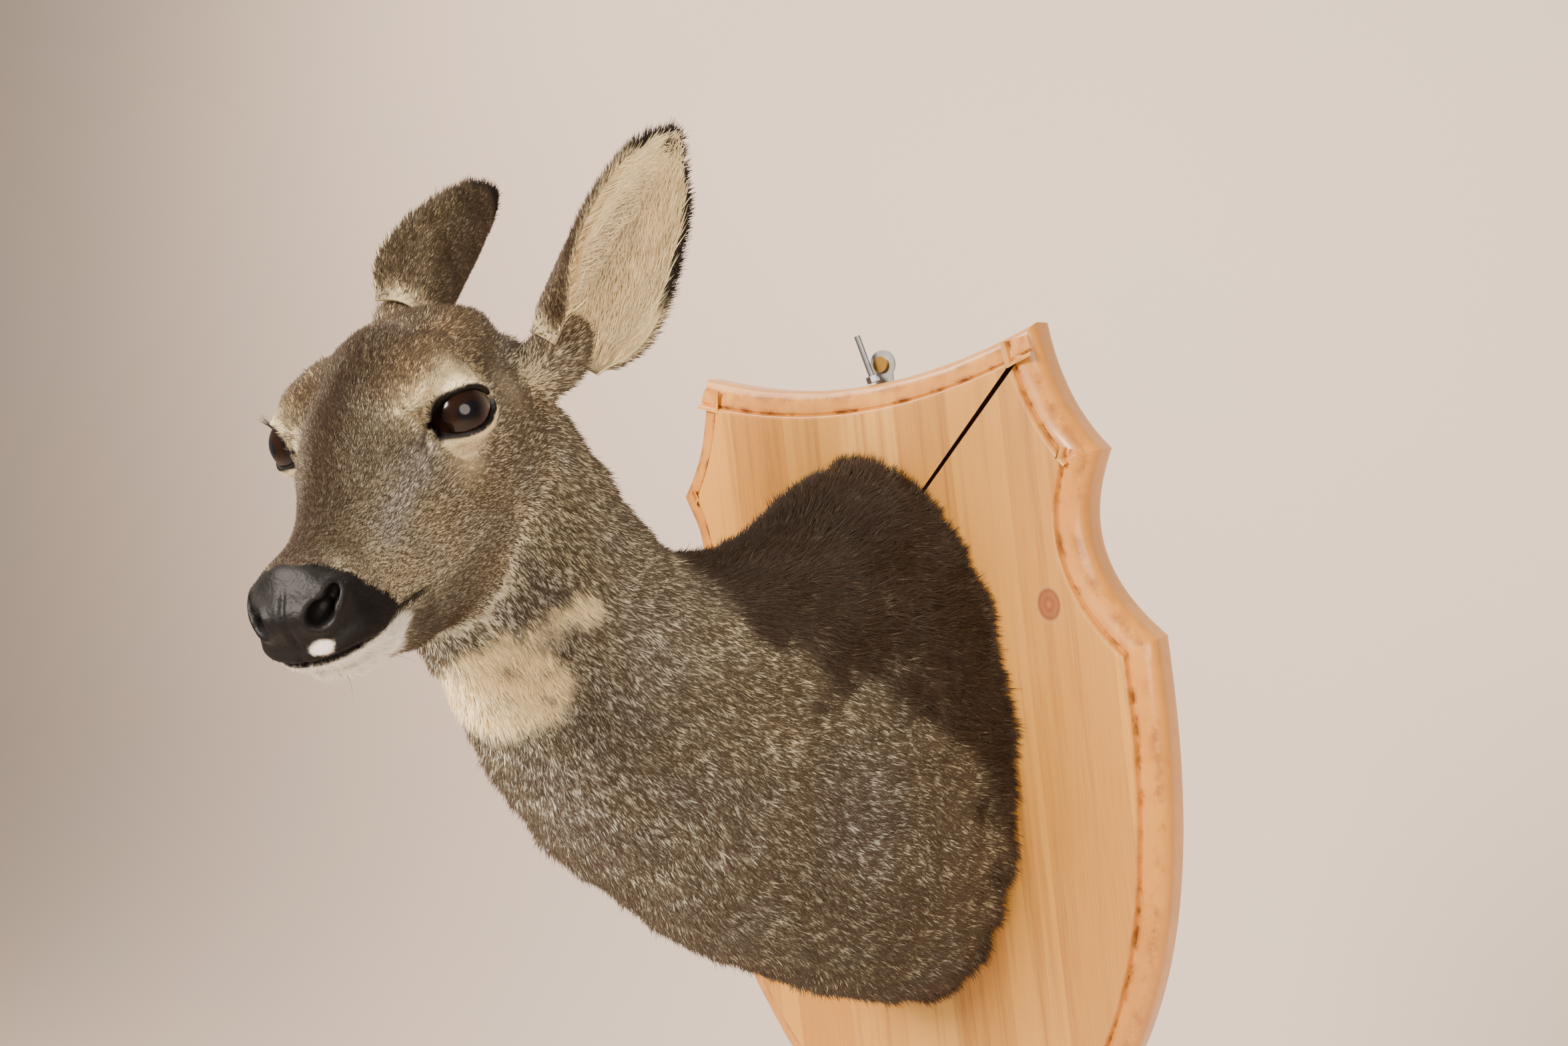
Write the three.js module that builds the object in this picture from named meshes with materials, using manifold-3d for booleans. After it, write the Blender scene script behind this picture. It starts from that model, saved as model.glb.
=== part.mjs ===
// Roe deer shoulder mount: a doe's head and neck in winter coat on a varnished shield board.
// Millimetres, +Z up. The board's back lies in the plane y = 0, the animal looks towards -Y,
// and +X is the animal's left. Flesh outlines run out to the tips of the coat.
import * as THREE from 'three';
import { mergeVertices } from 'three/addons/utils/BufferGeometryUtils.js';
import Module from 'manifold-3d';

const wasm = await Module();
wasm.setup();

// ---------------------------------------------------------------- driving sizes

const gap = 0.4;                 // air kept between neighbouring solids
const boardThick = 30;
const frontOfBoard = -boardThick;

// Neck and shoulder, from the board to the poll. Each station is a cut across the body:
// its upper end (yTop, zTop), its lower end (yLow, zLow), half its width, how square the
// cut is, and how far it stands to the side of the board's centre line.
const bodyStations = [
  { yTop: 0, zTop: 180, yLow: 0, zLow: -158, half: 85, square: 2.0, side: 0 },
  { yTop: -40, zTop: 180, yLow: -52, zLow: -154, half: 85, square: 2.0, side: 0 },
  { yTop: -85, zTop: 171, yLow: -112, zLow: -130, half: 81, square: 2.05, side: 0 },
  { yTop: -122, zTop: 152, yLow: -172, zLow: -98, half: 76, square: 2.1, side: 0 },
  { yTop: -162, zTop: 145, yLow: -226, zLow: -63, half: 68, square: 2.1, side: 0 },
  { yTop: -198, zTop: 142, yLow: -273, zLow: -26, half: 60, square: 2.15, side: 0 },
  { yTop: -227, zTop: 146, yLow: -313, zLow: 11, half: 52, square: 2.15, side: 0 },
  { yTop: -250, zTop: 168, yLow: -340, zLow: 52, half: 45, square: 2.15, side: -4 },
  { yTop: -267, zTop: 199, yLow: -357, zLow: 92, half: 40, square: 2.15, side: -9 },
  { yTop: -283, zTop: 231, yLow: -368, zLow: 122, half: 37, square: 2.15, side: -16 },
  { yTop: -299, zTop: 262, yLow: -380, zLow: 150, half: 34, square: 2.15, side: -22 },
];

// The head has its own frame: the origin is midway between the eyes, x to the animal's left,
// y forward to the tip of the nose and z up. One head unit is headScale millimetres.
const headScale = 0.95;
const midEye = new THREE.Vector3(1, -390.5, 215.5);
const headTurn = 23.3;           // degrees to the animal's left
const headDroop = 37.4;          // degrees of nose below level, along the line from the eyes
const headTilt = 3.6;            // degrees, left eye higher

// Cuts across the head from the poll to the lips: place along the head, top, bottom, half
// width, and how much the upper and the lower half narrow towards their ends.
const headStations = [
  { at: -98, top: -18, low: -40, half: 24, upperTaper: 0.1, lowerTaper: 0.1 },
  { at: -76, top: 14, low: -70, half: 35.5, upperTaper: -0.1, lowerTaper: 0.2 },
  { at: -50, top: 23, low: -88, half: 39, upperTaper: 0.3, lowerTaper: 0.3 },
  { at: -22, top: 35, low: -96, half: 42, upperTaper: 0.33, lowerTaper: 0.3 },
  { at: 6, top: 33, low: -96, half: 41, upperTaper: 0.38, lowerTaper: 0.2 },
  { at: 32, top: 27.5, low: -88, half: 35, upperTaper: 0.28, lowerTaper: 0 },
  { at: 58, top: 16.5, low: -75, half: 24.5, upperTaper: 0.23, lowerTaper: -0.2 },
  { at: 82, top: 10.5, low: -60, half: 19, upperTaper: 0.16, lowerTaper: -0.2 },
  { at: 104, top: 12, low: -42, half: 19, upperTaper: 0.15, lowerTaper: 0.2 },
];
const headSquare = 2.3;
const pollShift = { from: -10, over: 90, by: -2 };   // the skull's back leans to the right

// Rounded masses joined to the head: centre, radii and how softly they blend.
const headMasses = [
  { at: [0, 98.5, -6.5], radii: [23, 21, 13], blend: 8 },         // nose
  { at: [0, 97.5, -21], radii: [26, 24, 16.5], blend: 8 },       // upper lip
  { at: [0, 91, -39.5], radii: [21, 21.5, 11.5], blend: 6 },     // chin
  { at: [27.5, -4.5, 18], radii: [12.5, 25.5, 8], blend: 14, both: true },  // brow
  { at: [32, -3, 1], radii: [15.5, 21, 17], blend: 10, both: true },  // lids and orbit
  { at: [28, -34, -36], radii: [19, 32, 32], blend: 12, both: true }, // cheek
  { at: [24, -42, 2], radii: [15, 32, 17], blend: 14, both: true },   // temple
];

const eye = { side: 38.5, forward: 1, up: 0, radius: 13.2 };      // radius in millimetres

// Ears: a leaf-shaped sheet rolled about its long axis. The root and the two directions are in
// the head's frame. The leaf's stations give, against length, the radius of the roll, half
// the width measured round the roll, and the thickness with its hair.
const earLength = 120;
const earStandOff = 1.6;         // from the head's outline, enough for both nets' coarseness
const earLeaf = [
  { at: 0, radius: 19, half: 41, thick: 9 },
  { at: 0.14, radius: 25, half: 47, thick: 8 },
  { at: 0.28, radius: 31, half: 46, thick: 7 },
  { at: 0.45, radius: 36, half: 41, thick: 6.5 },
  { at: 0.62, radius: 38, half: 34, thick: 6 },
  { at: 0.78, radius: 38, half: 26, thick: 5.5 },
  { at: 0.92, radius: 38, half: 13, thick: 5 },
  { at: 1, radius: 38, half: 3, thick: 4.5 },
];
const ears = {
  left: { root: [42, -94, -28], along: [0.62, -0.62, 0.46], open: [0.26, 0.91, -0.33], size: 1 },
  right: { root: [-14, -100, -12], along: [0.12, -0.98, 0.15], open: [-0.94, 0.01, 0.34], size: 0.88 },
};

// Shield board, seen from the front: the right half of its outer edge, from the middle of the
// top to the point at the bottom, and its moulded section as (inset from the edge, y).
const shield = {
  topMiddle: 226,
  corner: [122, 247],
  shoulder: [153, 170],
  hip: [174, 61],
  point: -300,
};
const ovolo = { straight: 14, wide: 14, deep: 12.5 };
const quirk = { inset: 15.2, y: -25.6 };
const bead = [{ inset: 16.2, y: -28.6 }, { inset: 18.6, y: -30 }];

// Hanger let into the board's back at the top.
const pocket = { x: 9, wide: 20, from: 190, deep: 5 };
const strap = { x: 9, wide: 13, from: 196, thick: 1.6, y: -3.9 };
const washer = { x: 9, z: 238.5, radius: 9 };
const hub = { radius: 5, thick: 2.4 };
const pin = { foot: [7, -13.5, 227.6], head: [0.5, -17, 257.5], radius: 1.9 };
const collar = { radius: 4.2, high: 4 };

// ---------------------------------------------------------------- materials

const hair = (color) => new THREE.MeshStandardMaterial({ color, roughness: 0.95, metalness: 0 });
const paints = {
  shoulderHair: hair('#6b5a48'),
  neckHair: hair('#8f7c63'),
  headHair: hair('#7d6650'),
  jawHair: hair('#d9d0c0'),
  earHair: hair('#a8977c'),
  noseSkin: new THREE.MeshStandardMaterial({ color: '#17120f', roughness: 0.45, metalness: 0 }),
  eyeGlass: new THREE.MeshStandardMaterial({ color: '#120b07', roughness: 0.06, metalness: 0 }),
  pine: new THREE.MeshStandardMaterial({ color: '#d2a463', roughness: 0.3, metalness: 0 }),
  zinc: new THREE.MeshStandardMaterial({ color: '#9a9a94', roughness: 0.38, metalness: 0.9 }),
  brass: new THREE.MeshStandardMaterial({ color: '#8a6a2c', roughness: 0.4, metalness: 0.9 }),
  steel: new THREE.MeshStandardMaterial({ color: '#5c5f60', roughness: 0.45, metalness: 0.9 }),
};

// ---------------------------------------------------------------- small maths

const clamp = (v, low, high) => Math.min(high, Math.max(low, v));

function softMin(a, b, width) {
  const h = clamp(0.5 + (0.5 * (b - a)) / width, 0, 1);
  return b + (a - b) * h - width * h * (1 - h);
}

const softMax = (a, b, width) => -softMin(-a, -b, width);

// A smooth curve through the stations' values of one key, at place t counted in stations.
function between(stations, key, t) {
  const last = stations.length - 1;
  const i = clamp(Math.floor(t), 0, last - 1);
  const u = t - i;
  const before = stations[Math.max(i - 1, 0)][key];
  const from = stations[i][key];
  const to = stations[i + 1][key];
  const after = stations[Math.min(i + 2, last)][key];
  const slopeFrom = (to - before) / 2;
  const slopeTo = (after - from) / 2;
  const u2 = u * u;
  const u3 = u2 * u;
  return (2 * u3 - 3 * u2 + 1) * from + (u3 - 2 * u2 + u) * slopeFrom
    + (3 * u2 - 2 * u3) * to + (u3 - u2) * slopeTo;
}

// The place, counted in stations, where their key "at" has this value.
function placeOf(stations, value) {
  const last = stations.length - 1;
  if (value <= stations[0].at) return 0;
  for (let i = 0; i < last; i += 1) {
    const width = stations[i + 1].at - stations[i].at;
    if (value < stations[i + 1].at) return i + (value - stations[i].at) / width;
  }
  return last;
}

// About the distance to an oval cut with half sizes w and h, from a point a and b off its centre.
function ovalDistance(a, b, w, h, square) {
  const p = Math.abs(a) / w;
  const q = Math.abs(b) / h;
  const k = (p ** square + q ** square) ** (1 / square) + 1e-9;
  if (k < 0.3) return -Math.min(w, h) * (1 - k);
  const slope = Math.hypot(p ** (square - 1) / w, q ** (square - 1) / h) * k ** (1 - square);
  return (k - 1) / (slope + 1e-9);
}

function ballDistance(p, at, radii) {
  const q = p.map((v, i) => (v - at[i]) / radii[i]);
  const k = Math.hypot(...q) + 1e-9;
  const slope = Math.hypot(...q.map((v, i) => v / radii[i])) + 1e-9;
  return (k * (k - 1)) / slope;
}

// ---------------------------------------------------------------- the animal's outline

const headBasis = (() => {
  const [turn, droop, tilt] = [headTurn, headDroop, headTilt].map(THREE.MathUtils.degToRad);
  const forward = new THREE.Vector3(
    Math.sin(turn) * Math.cos(droop), -Math.cos(turn) * Math.cos(droop), -Math.sin(droop));
  const level = new THREE.Vector3(Math.cos(turn), Math.sin(turn), 0);
  const upright = forward.clone().cross(level);
  const left = level.clone().multiplyScalar(Math.cos(tilt)).addScaledVector(upright, Math.sin(tilt));
  const up = upright.clone().multiplyScalar(Math.cos(tilt)).addScaledVector(level, -Math.sin(tilt));
  return { left, forward, up };
})();

const headPlace = new THREE.Matrix4()
  .makeBasis(headBasis.left, headBasis.forward, headBasis.up)
  .scale(new THREE.Vector3(headScale, headScale, headScale))
  .setPosition(midEye);
const headUndo = headPlace.clone().invert();

const fromHead = (x, y, z) => new THREE.Vector3(x, y, z).applyMatrix4(headPlace);

function toHead(x, y, z) {
  const v = new THREE.Vector3(x, y, z).applyMatrix4(headUndo);
  return [v.x, v.y, v.z];
}

// The body's cuts lie across the side view as the spokes of a bent fan. Four cuts to a station
// are laid out once, and a point's place t is read between the two cuts it lies between.
const cutsPerStation = 4;
const bodyCuts = [];
for (let i = 0; i <= (bodyStations.length - 1) * cutsPerStation; i += 1) {
  const t = i / cutsPerStation;
  const yTop = between(bodyStations, 'yTop', t);
  const zTop = between(bodyStations, 'zTop', t);
  const yLow = between(bodyStations, 'yLow', t);
  const zLow = between(bodyStations, 'zLow', t);
  const length = Math.hypot(yTop - yLow, zTop - zLow);
  bodyCuts.push({ yLow, zLow, ny: -(zTop - zLow) / length, nz: (yTop - yLow) / length });
}

const pastCut = (cut, y, z) => (y - cut.yLow) * cut.ny + (z - cut.zLow) * cut.nz;

function bodyPlace(y, z) {
  const past = bodyCuts.map((cut) => pastCut(cut, y, z));
  const passed = past.filter((d) => d > 0).length;
  const k = clamp(passed - 1, 0, past.length - 2);
  const span = past[k] - past[k + 1];
  const share = clamp(past[k] / (Math.abs(span) < 1e-6 ? 1e-6 : span), 0, 1);
  return { t: (k + share) / cutsPerStation, beyond: past[past.length - 1] };
}

function bodyDistance(x, y, z) {
  const { t, beyond } = bodyPlace(y, z);
  const value = (key) => between(bodyStations, key, t);
  const yMid = (value('yTop') + value('yLow')) / 2;
  const zMid = (value('zTop') + value('zLow')) / 2;
  const dy = (value('yTop') - value('yLow')) / 2;
  const dz = (value('zTop') - value('zLow')) / 2;
  const high = Math.hypot(dy, dz);
  const across = ((y - yMid) * dy + (z - zMid) * dz) / high;
  const side = x - value('side');
  return softMax(ovalDistance(side, across, value('half'), high, value('square')), beyond, 14);
}

function skullDistance(p) {
  const t = placeOf(headStations, p[1]);
  const top = between(headStations, 'top', t);
  const low = between(headStations, 'low', t);
  const high = (top - low) / 2;
  const up = p[2] - (top + low) / 2;
  const upper = clamp(up / high, 0, 1.2) ** 2 * between(headStations, 'upperTaper', t);
  const lower = clamp(-up / high, 0, 1.2) ** 2 * between(headStations, 'lowerTaper', t);
  const half = between(headStations, 'half', t) * (1 - upper - lower);
  const round = ovalDistance(p[0], up, half, high, headSquare);
  const first = headStations[0].at;
  const last = headStations[headStations.length - 1].at;
  return softMax(softMax(round, p[1] - last, 10), first - p[1], 16);
}

function headDistance(x, y, z) {
  const p = toHead(x, y, z);
  p[0] -= pollShift.by * clamp((pollShift.from - p[1]) / pollShift.over, 0, 1);
  let distance = skullDistance(p);
  for (const mass of headMasses) {
    const q = mass.both ? [Math.abs(p[0]), p[1], p[2]] : p;
    distance = softMin(distance, ballDistance(q, mass.at, mass.radii), mass.blend);
  }
  return distance * headScale;
}

const animalDistance = (x, y, z) => softMin(bodyDistance(x, y, z), headDistance(x, y, z), 16);

// ---------------------------------------------------------------- meshing and cutting

function geometryOf(points, triangles) {
  const geometry = new THREE.BufferGeometry();
  geometry.setAttribute('position', new THREE.Float32BufferAttribute(points, 3));
  geometry.setIndex(triangles);
  return geometry;
}

// A closed mesh of the space where distance() is negative, as a net over cubes of one size:
// each cube that the surface crosses holds one point, and neighbours are joined by quads.
function netOf(distance, box, cell) {
  const count = box.getSize(new THREE.Vector3()).divideScalar(cell).ceil().addScalar(1).toArray();
  const index = (i, j, k) => (i * count[1] + j) * count[2] + k;
  const at = (i, j, k) => [box.min.x + i * cell, box.min.y + j * cell, box.min.z + k * cell];
  const values = new Float64Array(count[0] * count[1] * count[2]);
  for (let i = 0; i < count[0]; i += 1) {
    for (let j = 0; j < count[1]; j += 1) {
      for (let k = 0; k < count[2]; k += 1) values[index(i, j, k)] = distance(...at(i, j, k));
    }
  }
  const corners = [0, 1, 2, 3, 4, 5, 6, 7].map((n) => [n & 1, (n >> 1) & 1, (n >> 2) & 1]);
  const edges = [];
  for (let a = 0; a < 8; a += 1) {
    for (const bit of [1, 2, 4]) if (!(a & bit)) edges.push([a, a | bit]);
  }
  const pointOf = new Map();
  const points = [];
  for (let i = 0; i < count[0] - 1; i += 1) {
    for (let j = 0; j < count[1] - 1; j += 1) {
      for (let k = 0; k < count[2] - 1; k += 1) {
        const v = corners.map((c) => values[index(i + c[0], j + c[1], k + c[2])]);
        const crossed = edges.filter(([a, b]) => (v[a] < 0) !== (v[b] < 0));
        if (!crossed.length) continue;
        const sum = [0, 0, 0];
        for (const [a, b] of crossed) {
          const share = v[a] / (v[a] - v[b]);
          for (let n = 0; n < 3; n += 1) {
            sum[n] += corners[a][n] + (corners[b][n] - corners[a][n]) * share;
          }
        }
        const origin = at(i, j, k);
        pointOf.set(index(i, j, k), points.length / 3);
        points.push(...origin.map((o, n) => o + (sum[n] / crossed.length) * cell));
      }
    }
  }
  const triangles = [];
  const step = [count[1] * count[2], count[2], 1];
  for (const cube of pointOf.keys()) {
    for (let axis = 0; axis < 3; axis += 1) {
      const inside = values[cube] < 0;
      if (inside === values[cube + step[axis]] < 0) continue;
      const u = step[(axis + 1) % 3];
      const w = step[(axis + 2) % 3];
      const quad = [cube, cube - u, cube - u - w, cube - w].map((c) => pointOf.get(c));
      if (quad.includes(undefined)) continue;
      if (!inside) quad.reverse();
      triangles.push(quad[0], quad[1], quad[2], quad[0], quad[2], quad[3]);
    }
  }
  return geometryOf(points, triangles);
}

function solidOf(geometry) {
  const bare = geometry.clone();
  bare.deleteAttribute('normal');
  bare.deleteAttribute('uv');
  const merged = mergeVertices(bare, 1e-4);
  return new wasm.Manifold(new wasm.Mesh({
    numProp: 3,
    vertProperties: new Float32Array(merged.attributes.position.array),
    triVerts: new Uint32Array(merged.index.array),
  }));
}

function geometryOfSolid(solid) {
  const mesh = solid.getMesh();
  return geometryOf(Array.from(mesh.vertProperties), Array.from(mesh.triVerts));
}

// A large block whose one face passes through a point, lying on the side its normal points to.
function halfSpace(point, normal) {
  const side = 1400;
  const block = new THREE.BoxGeometry(side, side, side);
  const turn = new THREE.Quaternion().setFromUnitVectors(new THREE.Vector3(0, 0, 1), normal);
  block.translate(0, 0, side / 2).applyQuaternion(turn).translate(...point.toArray());
  return solidOf(block);
}

// The parts of a solid on the far and the near side of a plane, with the gap between them.
function part(solid, point, normal) {
  const shift = normal.clone().multiplyScalar(gap / 2);
  const beyond = halfSpace(point.clone().add(shift), normal);
  const before = halfSpace(point.clone().sub(shift), normal.clone().negate());
  return [solid.intersect(beyond), solid.intersect(before)];
}

// The loose crumbs that a cut can leave are dropped: only the largest piece is kept.
function largest(solid) {
  const pieces = solid.decompose();
  return pieces.reduce((a, b) => (b.volume() > a.volume() ? b : a));
}

// ---------------------------------------------------------------- flesh

const bodyCell = 16;
const headCell = 8.6;
const bodyBox = new THREE.Box3(new THREE.Vector3(-110, -420, -185), new THREE.Vector3(110, 10, 300));
const headBox = new THREE.Box3(new THREE.Vector3(-105, -495, 35), new THREE.Vector3(85, -225, 310));

// Where the neck ends: a plane behind the jaw and under the ears, in the head's frame.
const neckEnd = { point: fromHead(0, -112, -28), normal: headDirection(0, 0.54, 0.84) };
// Where the shoulder ends and the neck begins.
const neckRoot = {
  point: new THREE.Vector3(0, -212, 60),
  normal: new THREE.Vector3(0, -0.85, 0.53).normalize(),
};
// Where the rhinarium, the bare skin of the nose, ends.
const noseRoot = { point: fromHead(0, 103.5, 5), normal: headDirection(0, 0.92, 0.39) };
// The mouth's plane, and the upright plane just behind its corners.
const mouth = { point: fromHead(0, 113, -31), normal: headDirection(0, 0.2, -0.98) };
const mouthCorner = { point: fromHead(0, 58, 0), normal: headDirection(0, 0.99, 0.14) };

function headDirection(x, y, z) {
  return new THREE.Vector3(x, y, z).transformDirection(headPlace);
}

function fleshSolids() {
  const wholeBody = solidOf(netOf(
    (x, y, z) => softMax(softMax(animalDistance(x, y, z), y + 8, bodyCell),
      -behindNeckEnd(x, y, z) - 30, bodyCell), bodyBox, bodyCell));
  const wholeHead = solidOf(netOf(
    (x, y, z) => softMax(animalDistance(x, y, z), behindNeckEnd(x, y, z) - 12, headCell),
    headBox, headCell));
  const offBoard = new THREE.Vector3(0, frontOfBoard - gap, 0);
  const trunk = wholeBody.intersect(halfSpace(offBoard, new THREE.Vector3(0, -1, 0)));
  const [, belowHead] = part(trunk, neckEnd.point, neckEnd.normal);
  const [neck, chest] = part(belowHead, neckRoot.point, neckRoot.normal);
  const [skull] = part(wholeHead, neckEnd.point, neckEnd.normal);
  const [nose, face] = part(skull, noseRoot.point, noseRoot.normal);
  const [below, above] = part(face, mouth.point, mouth.normal);
  const [jaw, throat] = part(below, mouthCorner.point, mouthCorner.normal);
  const behindMouth = face.intersect(halfSpace(
    mouthCorner.point.clone().addScaledVector(mouthCorner.normal, -gap / 2),
    mouthCorner.normal.clone().negate()));
  throat.delete();
  return {
    chest: largest(chest),
    neck: largest(neck),
    head: largest(above.add(behindMouth)),
    lower_jaw: largest(jaw),
    nose: largest(nose),
  };
}

function behindNeckEnd(x, y, z) {
  return -new THREE.Vector3(x, y, z).sub(neckEnd.point).dot(neckEnd.normal);
}

// ---------------------------------------------------------------- eyes

const eyeCentre = (side) => fromHead(side * eye.side, eye.forward, eye.up);

function ballAt(centre, radius, around = 16, high = 10) {
  return new THREE.SphereGeometry(radius, around, high).translate(...centre.toArray());
}

// ---------------------------------------------------------------- ears

function earFrame(ear) {
  const along = new THREE.Vector3(...ear.along).normalize();
  const open = new THREE.Vector3(...ear.open);
  open.addScaledVector(along, -open.dot(along)).normalize();
  const across = along.clone().cross(open);
  return new THREE.Matrix4()
    .makeBasis(across, open, along)
    .scale(new THREE.Vector3(ear.size, ear.size, ear.size))
    .setPosition(...ear.root)
    .premultiply(headPlace);
}

// One closed ring of points round the leaf at a place along it: out along the back from one
// edge to the other, then home along the hollow side.
function earRing(share, arcSteps) {
  const t = placeOf(earLeaf, share);
  const radius = between(earLeaf, 'radius', t);
  const half = between(earLeaf, 'half', t);
  const thick = between(earLeaf, 'thick', t);
  const spread = Math.min(half / radius, 2.7);
  const ring = [];
  for (const side of [1, -1]) {
    for (let i = 0; i <= arcSteps; i += 1) {
      const u = (i / arcSteps) * 2 - 1;
      const angle = side * u * spread;
      const edge = Math.sqrt(Math.max(0, 1 - u ** 8)) * 0.42 + 0.08;
      const r = radius + side * thick * edge;
      ring.push(new THREE.Vector3(r * Math.sin(angle), radius - r * Math.cos(angle), share * earLength));
    }
  }
  return ring;
}

function earGeometry(ear) {
  const arcSteps = 8;
  const rows = 10;
  const rings = [];
  for (let i = 0; i <= rows; i += 1) rings.push(earRing(i / rows, arcSteps));
  const points = rings.flat().flatMap((p) => p.toArray());
  const size = rings[0].length;
  const triangles = [];
  for (let i = 0; i < rows; i += 1) {
    for (let j = 0; j < size; j += 1) {
      const [a, b] = [i * size + j, i * size + ((j + 1) % size)];
      triangles.push(a, b, b + size, a, b + size, a + size);
    }
  }
  for (const [row, flip] of [[0, true], [rows, false]]) {
    const first = row * size;
    for (let j = 0; j < arcSteps; j += 1) {
      const quad = [j, j + 1, size - 2 - j, size - 1 - j].map((n) => first + n);
      if (flip) quad.reverse();
      triangles.push(quad[0], quad[1], quad[2], quad[0], quad[2], quad[3]);
    }
  }
  return geometryOf(points, triangles);
}

// The ear's root is filled, so that it grows from the head as a short stub.
function earSolid(ear, around) {
  const root = new THREE.SphereGeometry(1, 12, 8).scale(17, 14, 22).translate(0, 16, -2);
  const leaf = solidOf(earGeometry(ear)).add(solidOf(root));
  const placed = geometryOfSolid(leaf).applyMatrix4(earFrame(ear));
  return largest(solidOf(placed).subtract(around));
}

// The poll a little larger all round, which is cut from the ears' roots.
function swollenPoll() {
  const centre = fromHead(6, -98, -14);
  const reach = 70;
  const box = new THREE.Box3().setFromCenterAndSize(centre, new THREE.Vector3(1, 1, 1)
    .multiplyScalar(2 * reach + 4 * headCell));
  return solidOf(netOf((x, y, z) => softMax(animalDistance(x, y, z) - earStandOff,
    new THREE.Vector3(x, y, z).distanceTo(centre) - reach, headCell), box, headCell));
}

// ---------------------------------------------------------------- board

function shieldCurve() {
  const [cx, cz] = shield.corner;
  const [sx, sz] = shield.shoulder;
  const [hx, hz] = shield.hip;
  const half = new THREE.CurvePath();
  const v = (x, z) => new THREE.Vector2(x, z);
  half.add(new THREE.QuadraticBezierCurve(v(0, shield.topMiddle), v(cx / 2, shield.topMiddle), v(cx, cz)));
  half.add(new THREE.QuadraticBezierCurve(v(cx, cz), v(cx + 5, cz - 47), v(sx, sz)));
  half.add(new THREE.CubicBezierCurve(v(sx, sz), v(sx - 14, sz - 29), v(sx - 24, sz - 66), v(hx, hz)));
  half.add(new THREE.CubicBezierCurve(v(hx, hz), v(hx + 6, hz - 156), v(hx - 22, hz - 301), v(0, shield.point)));
  return half;
}

// The whole outline, going round from the middle of the top, with a point at each corner.
function shieldOutline() {
  const steps = [6, 4, 7, 11];
  const right = shieldCurve().curves.flatMap((curve, n) => curve.getPoints(steps[n]).slice(0, -1));
  const left = right.slice(1).reverse().map((p) => new THREE.Vector2(-p.x, p.y));
  return [...right, new THREE.Vector2(0, shield.point), ...left];
}

function insetOutline(outline, inset) {
  return outline.map((p, i) => {
    const before = outline[(i + outline.length - 1) % outline.length];
    const after = outline[(i + 1) % outline.length];
    const a = p.clone().sub(before).normalize();
    const b = after.clone().sub(p).normalize();
    const normal = new THREE.Vector2(a.y + b.y, -a.x - b.x).normalize();
    const reach = inset / Math.max(0.5, normal.dot(new THREE.Vector2(a.y, -a.x)));
    return p.clone().addScaledVector(normal, reach);
  });
}

function boardSection() {
  const section = [{ inset: 0, y: 0 }, { inset: 0, y: -ovolo.straight }];
  const steps = 3;
  for (let i = 1; i <= steps; i += 1) {
    const angle = (i / steps) * (Math.PI / 2);
    section.push({
      inset: ovolo.wide * (1 - Math.cos(angle)),
      y: -ovolo.straight - ovolo.deep * Math.sin(angle),
    });
  }
  return [...section, quirk, ...bead];
}

function boardSolid() {
  const outline = shieldOutline();
  const rings = boardSection().map(({ inset, y }) => insetOutline(outline, inset)
    .map((p) => new THREE.Vector3(p.x, y, p.y)));
  const size = outline.length;
  const points = rings.flat().flatMap((p) => p.toArray());
  const triangles = [];
  for (let i = 0; i < rings.length - 1; i += 1) {
    for (let j = 0; j < size; j += 1) {
      const [a, b] = [i * size + j, i * size + ((j + 1) % size)];
      triangles.push(a, b + size, b, a, a + size, b + size);
    }
  }
  for (const [row, flip] of [[0, true], [rings.length - 1, false]]) {
    const flat = rings[row].map((p) => new THREE.Vector2(p.x, p.z));
    for (const face of THREE.ShapeUtils.triangulateShape(flat, [])) {
      const [a, b, c] = face.map((n) => row * size + n);
      triangles.push(a, flip ? c : b, flip ? b : c);
    }
  }
  const slot = new THREE.BoxGeometry(pocket.wide, pocket.deep * 2, 80)
    .translate(pocket.x, 0, pocket.from + 40);
  return solidOf(geometryOf(points, triangles)).subtract(solidOf(slot));
}

// ---------------------------------------------------------------- hanger

function lyingDisc(radius, thick, x, y, z, around = 24) {
  return new THREE.CylinderGeometry(radius, radius, thick, around).translate(x, y, z);
}

function hangerPlate() {
  const high = washer.z - strap.from;
  const band = new THREE.BoxGeometry(strap.wide, strap.thick, high)
    .translate(strap.x, strap.y, strap.from + high / 2);
  const ring = solidOf(lyingDisc(washer.radius, strap.thick, washer.x, strap.y, washer.z));
  return ring.add(solidOf(band));
}

function pinGeometry() {
  const foot = new THREE.Vector3(...pin.foot);
  const head = new THREE.Vector3(...pin.head);
  const along = head.clone().sub(foot);
  const turn = new THREE.Quaternion().setFromUnitVectors(
    new THREE.Vector3(0, 1, 0), along.clone().normalize());
  const shank = new THREE.CylinderGeometry(pin.radius, pin.radius, along.length(), 14)
    .translate(0, along.length() / 2, 0);
  const nut = new THREE.CylinderGeometry(collar.radius, collar.radius, collar.high, 6)
    .translate(0, collar.high / 2, 0);
  const joined = solidOf(shank).add(solidOf(nut));
  return geometryOfSolid(joined).applyQuaternion(turn).translate(...pin.foot);
}

// ---------------------------------------------------------------- the mount

const group = new THREE.Group();

function add(name, geometry, material) {
  geometry.computeVertexNormals();
  const mesh = new THREE.Mesh(geometry, material);
  mesh.name = name;
  group.add(mesh);
}

const flesh = fleshSolids();
const sockets = [1, -1].map((side) => solidOf(ballAt(eyeCentre(side), eye.radius + gap)));
flesh.head = largest(sockets.reduce((head, socket) => head.subtract(socket), flesh.head));

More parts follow.
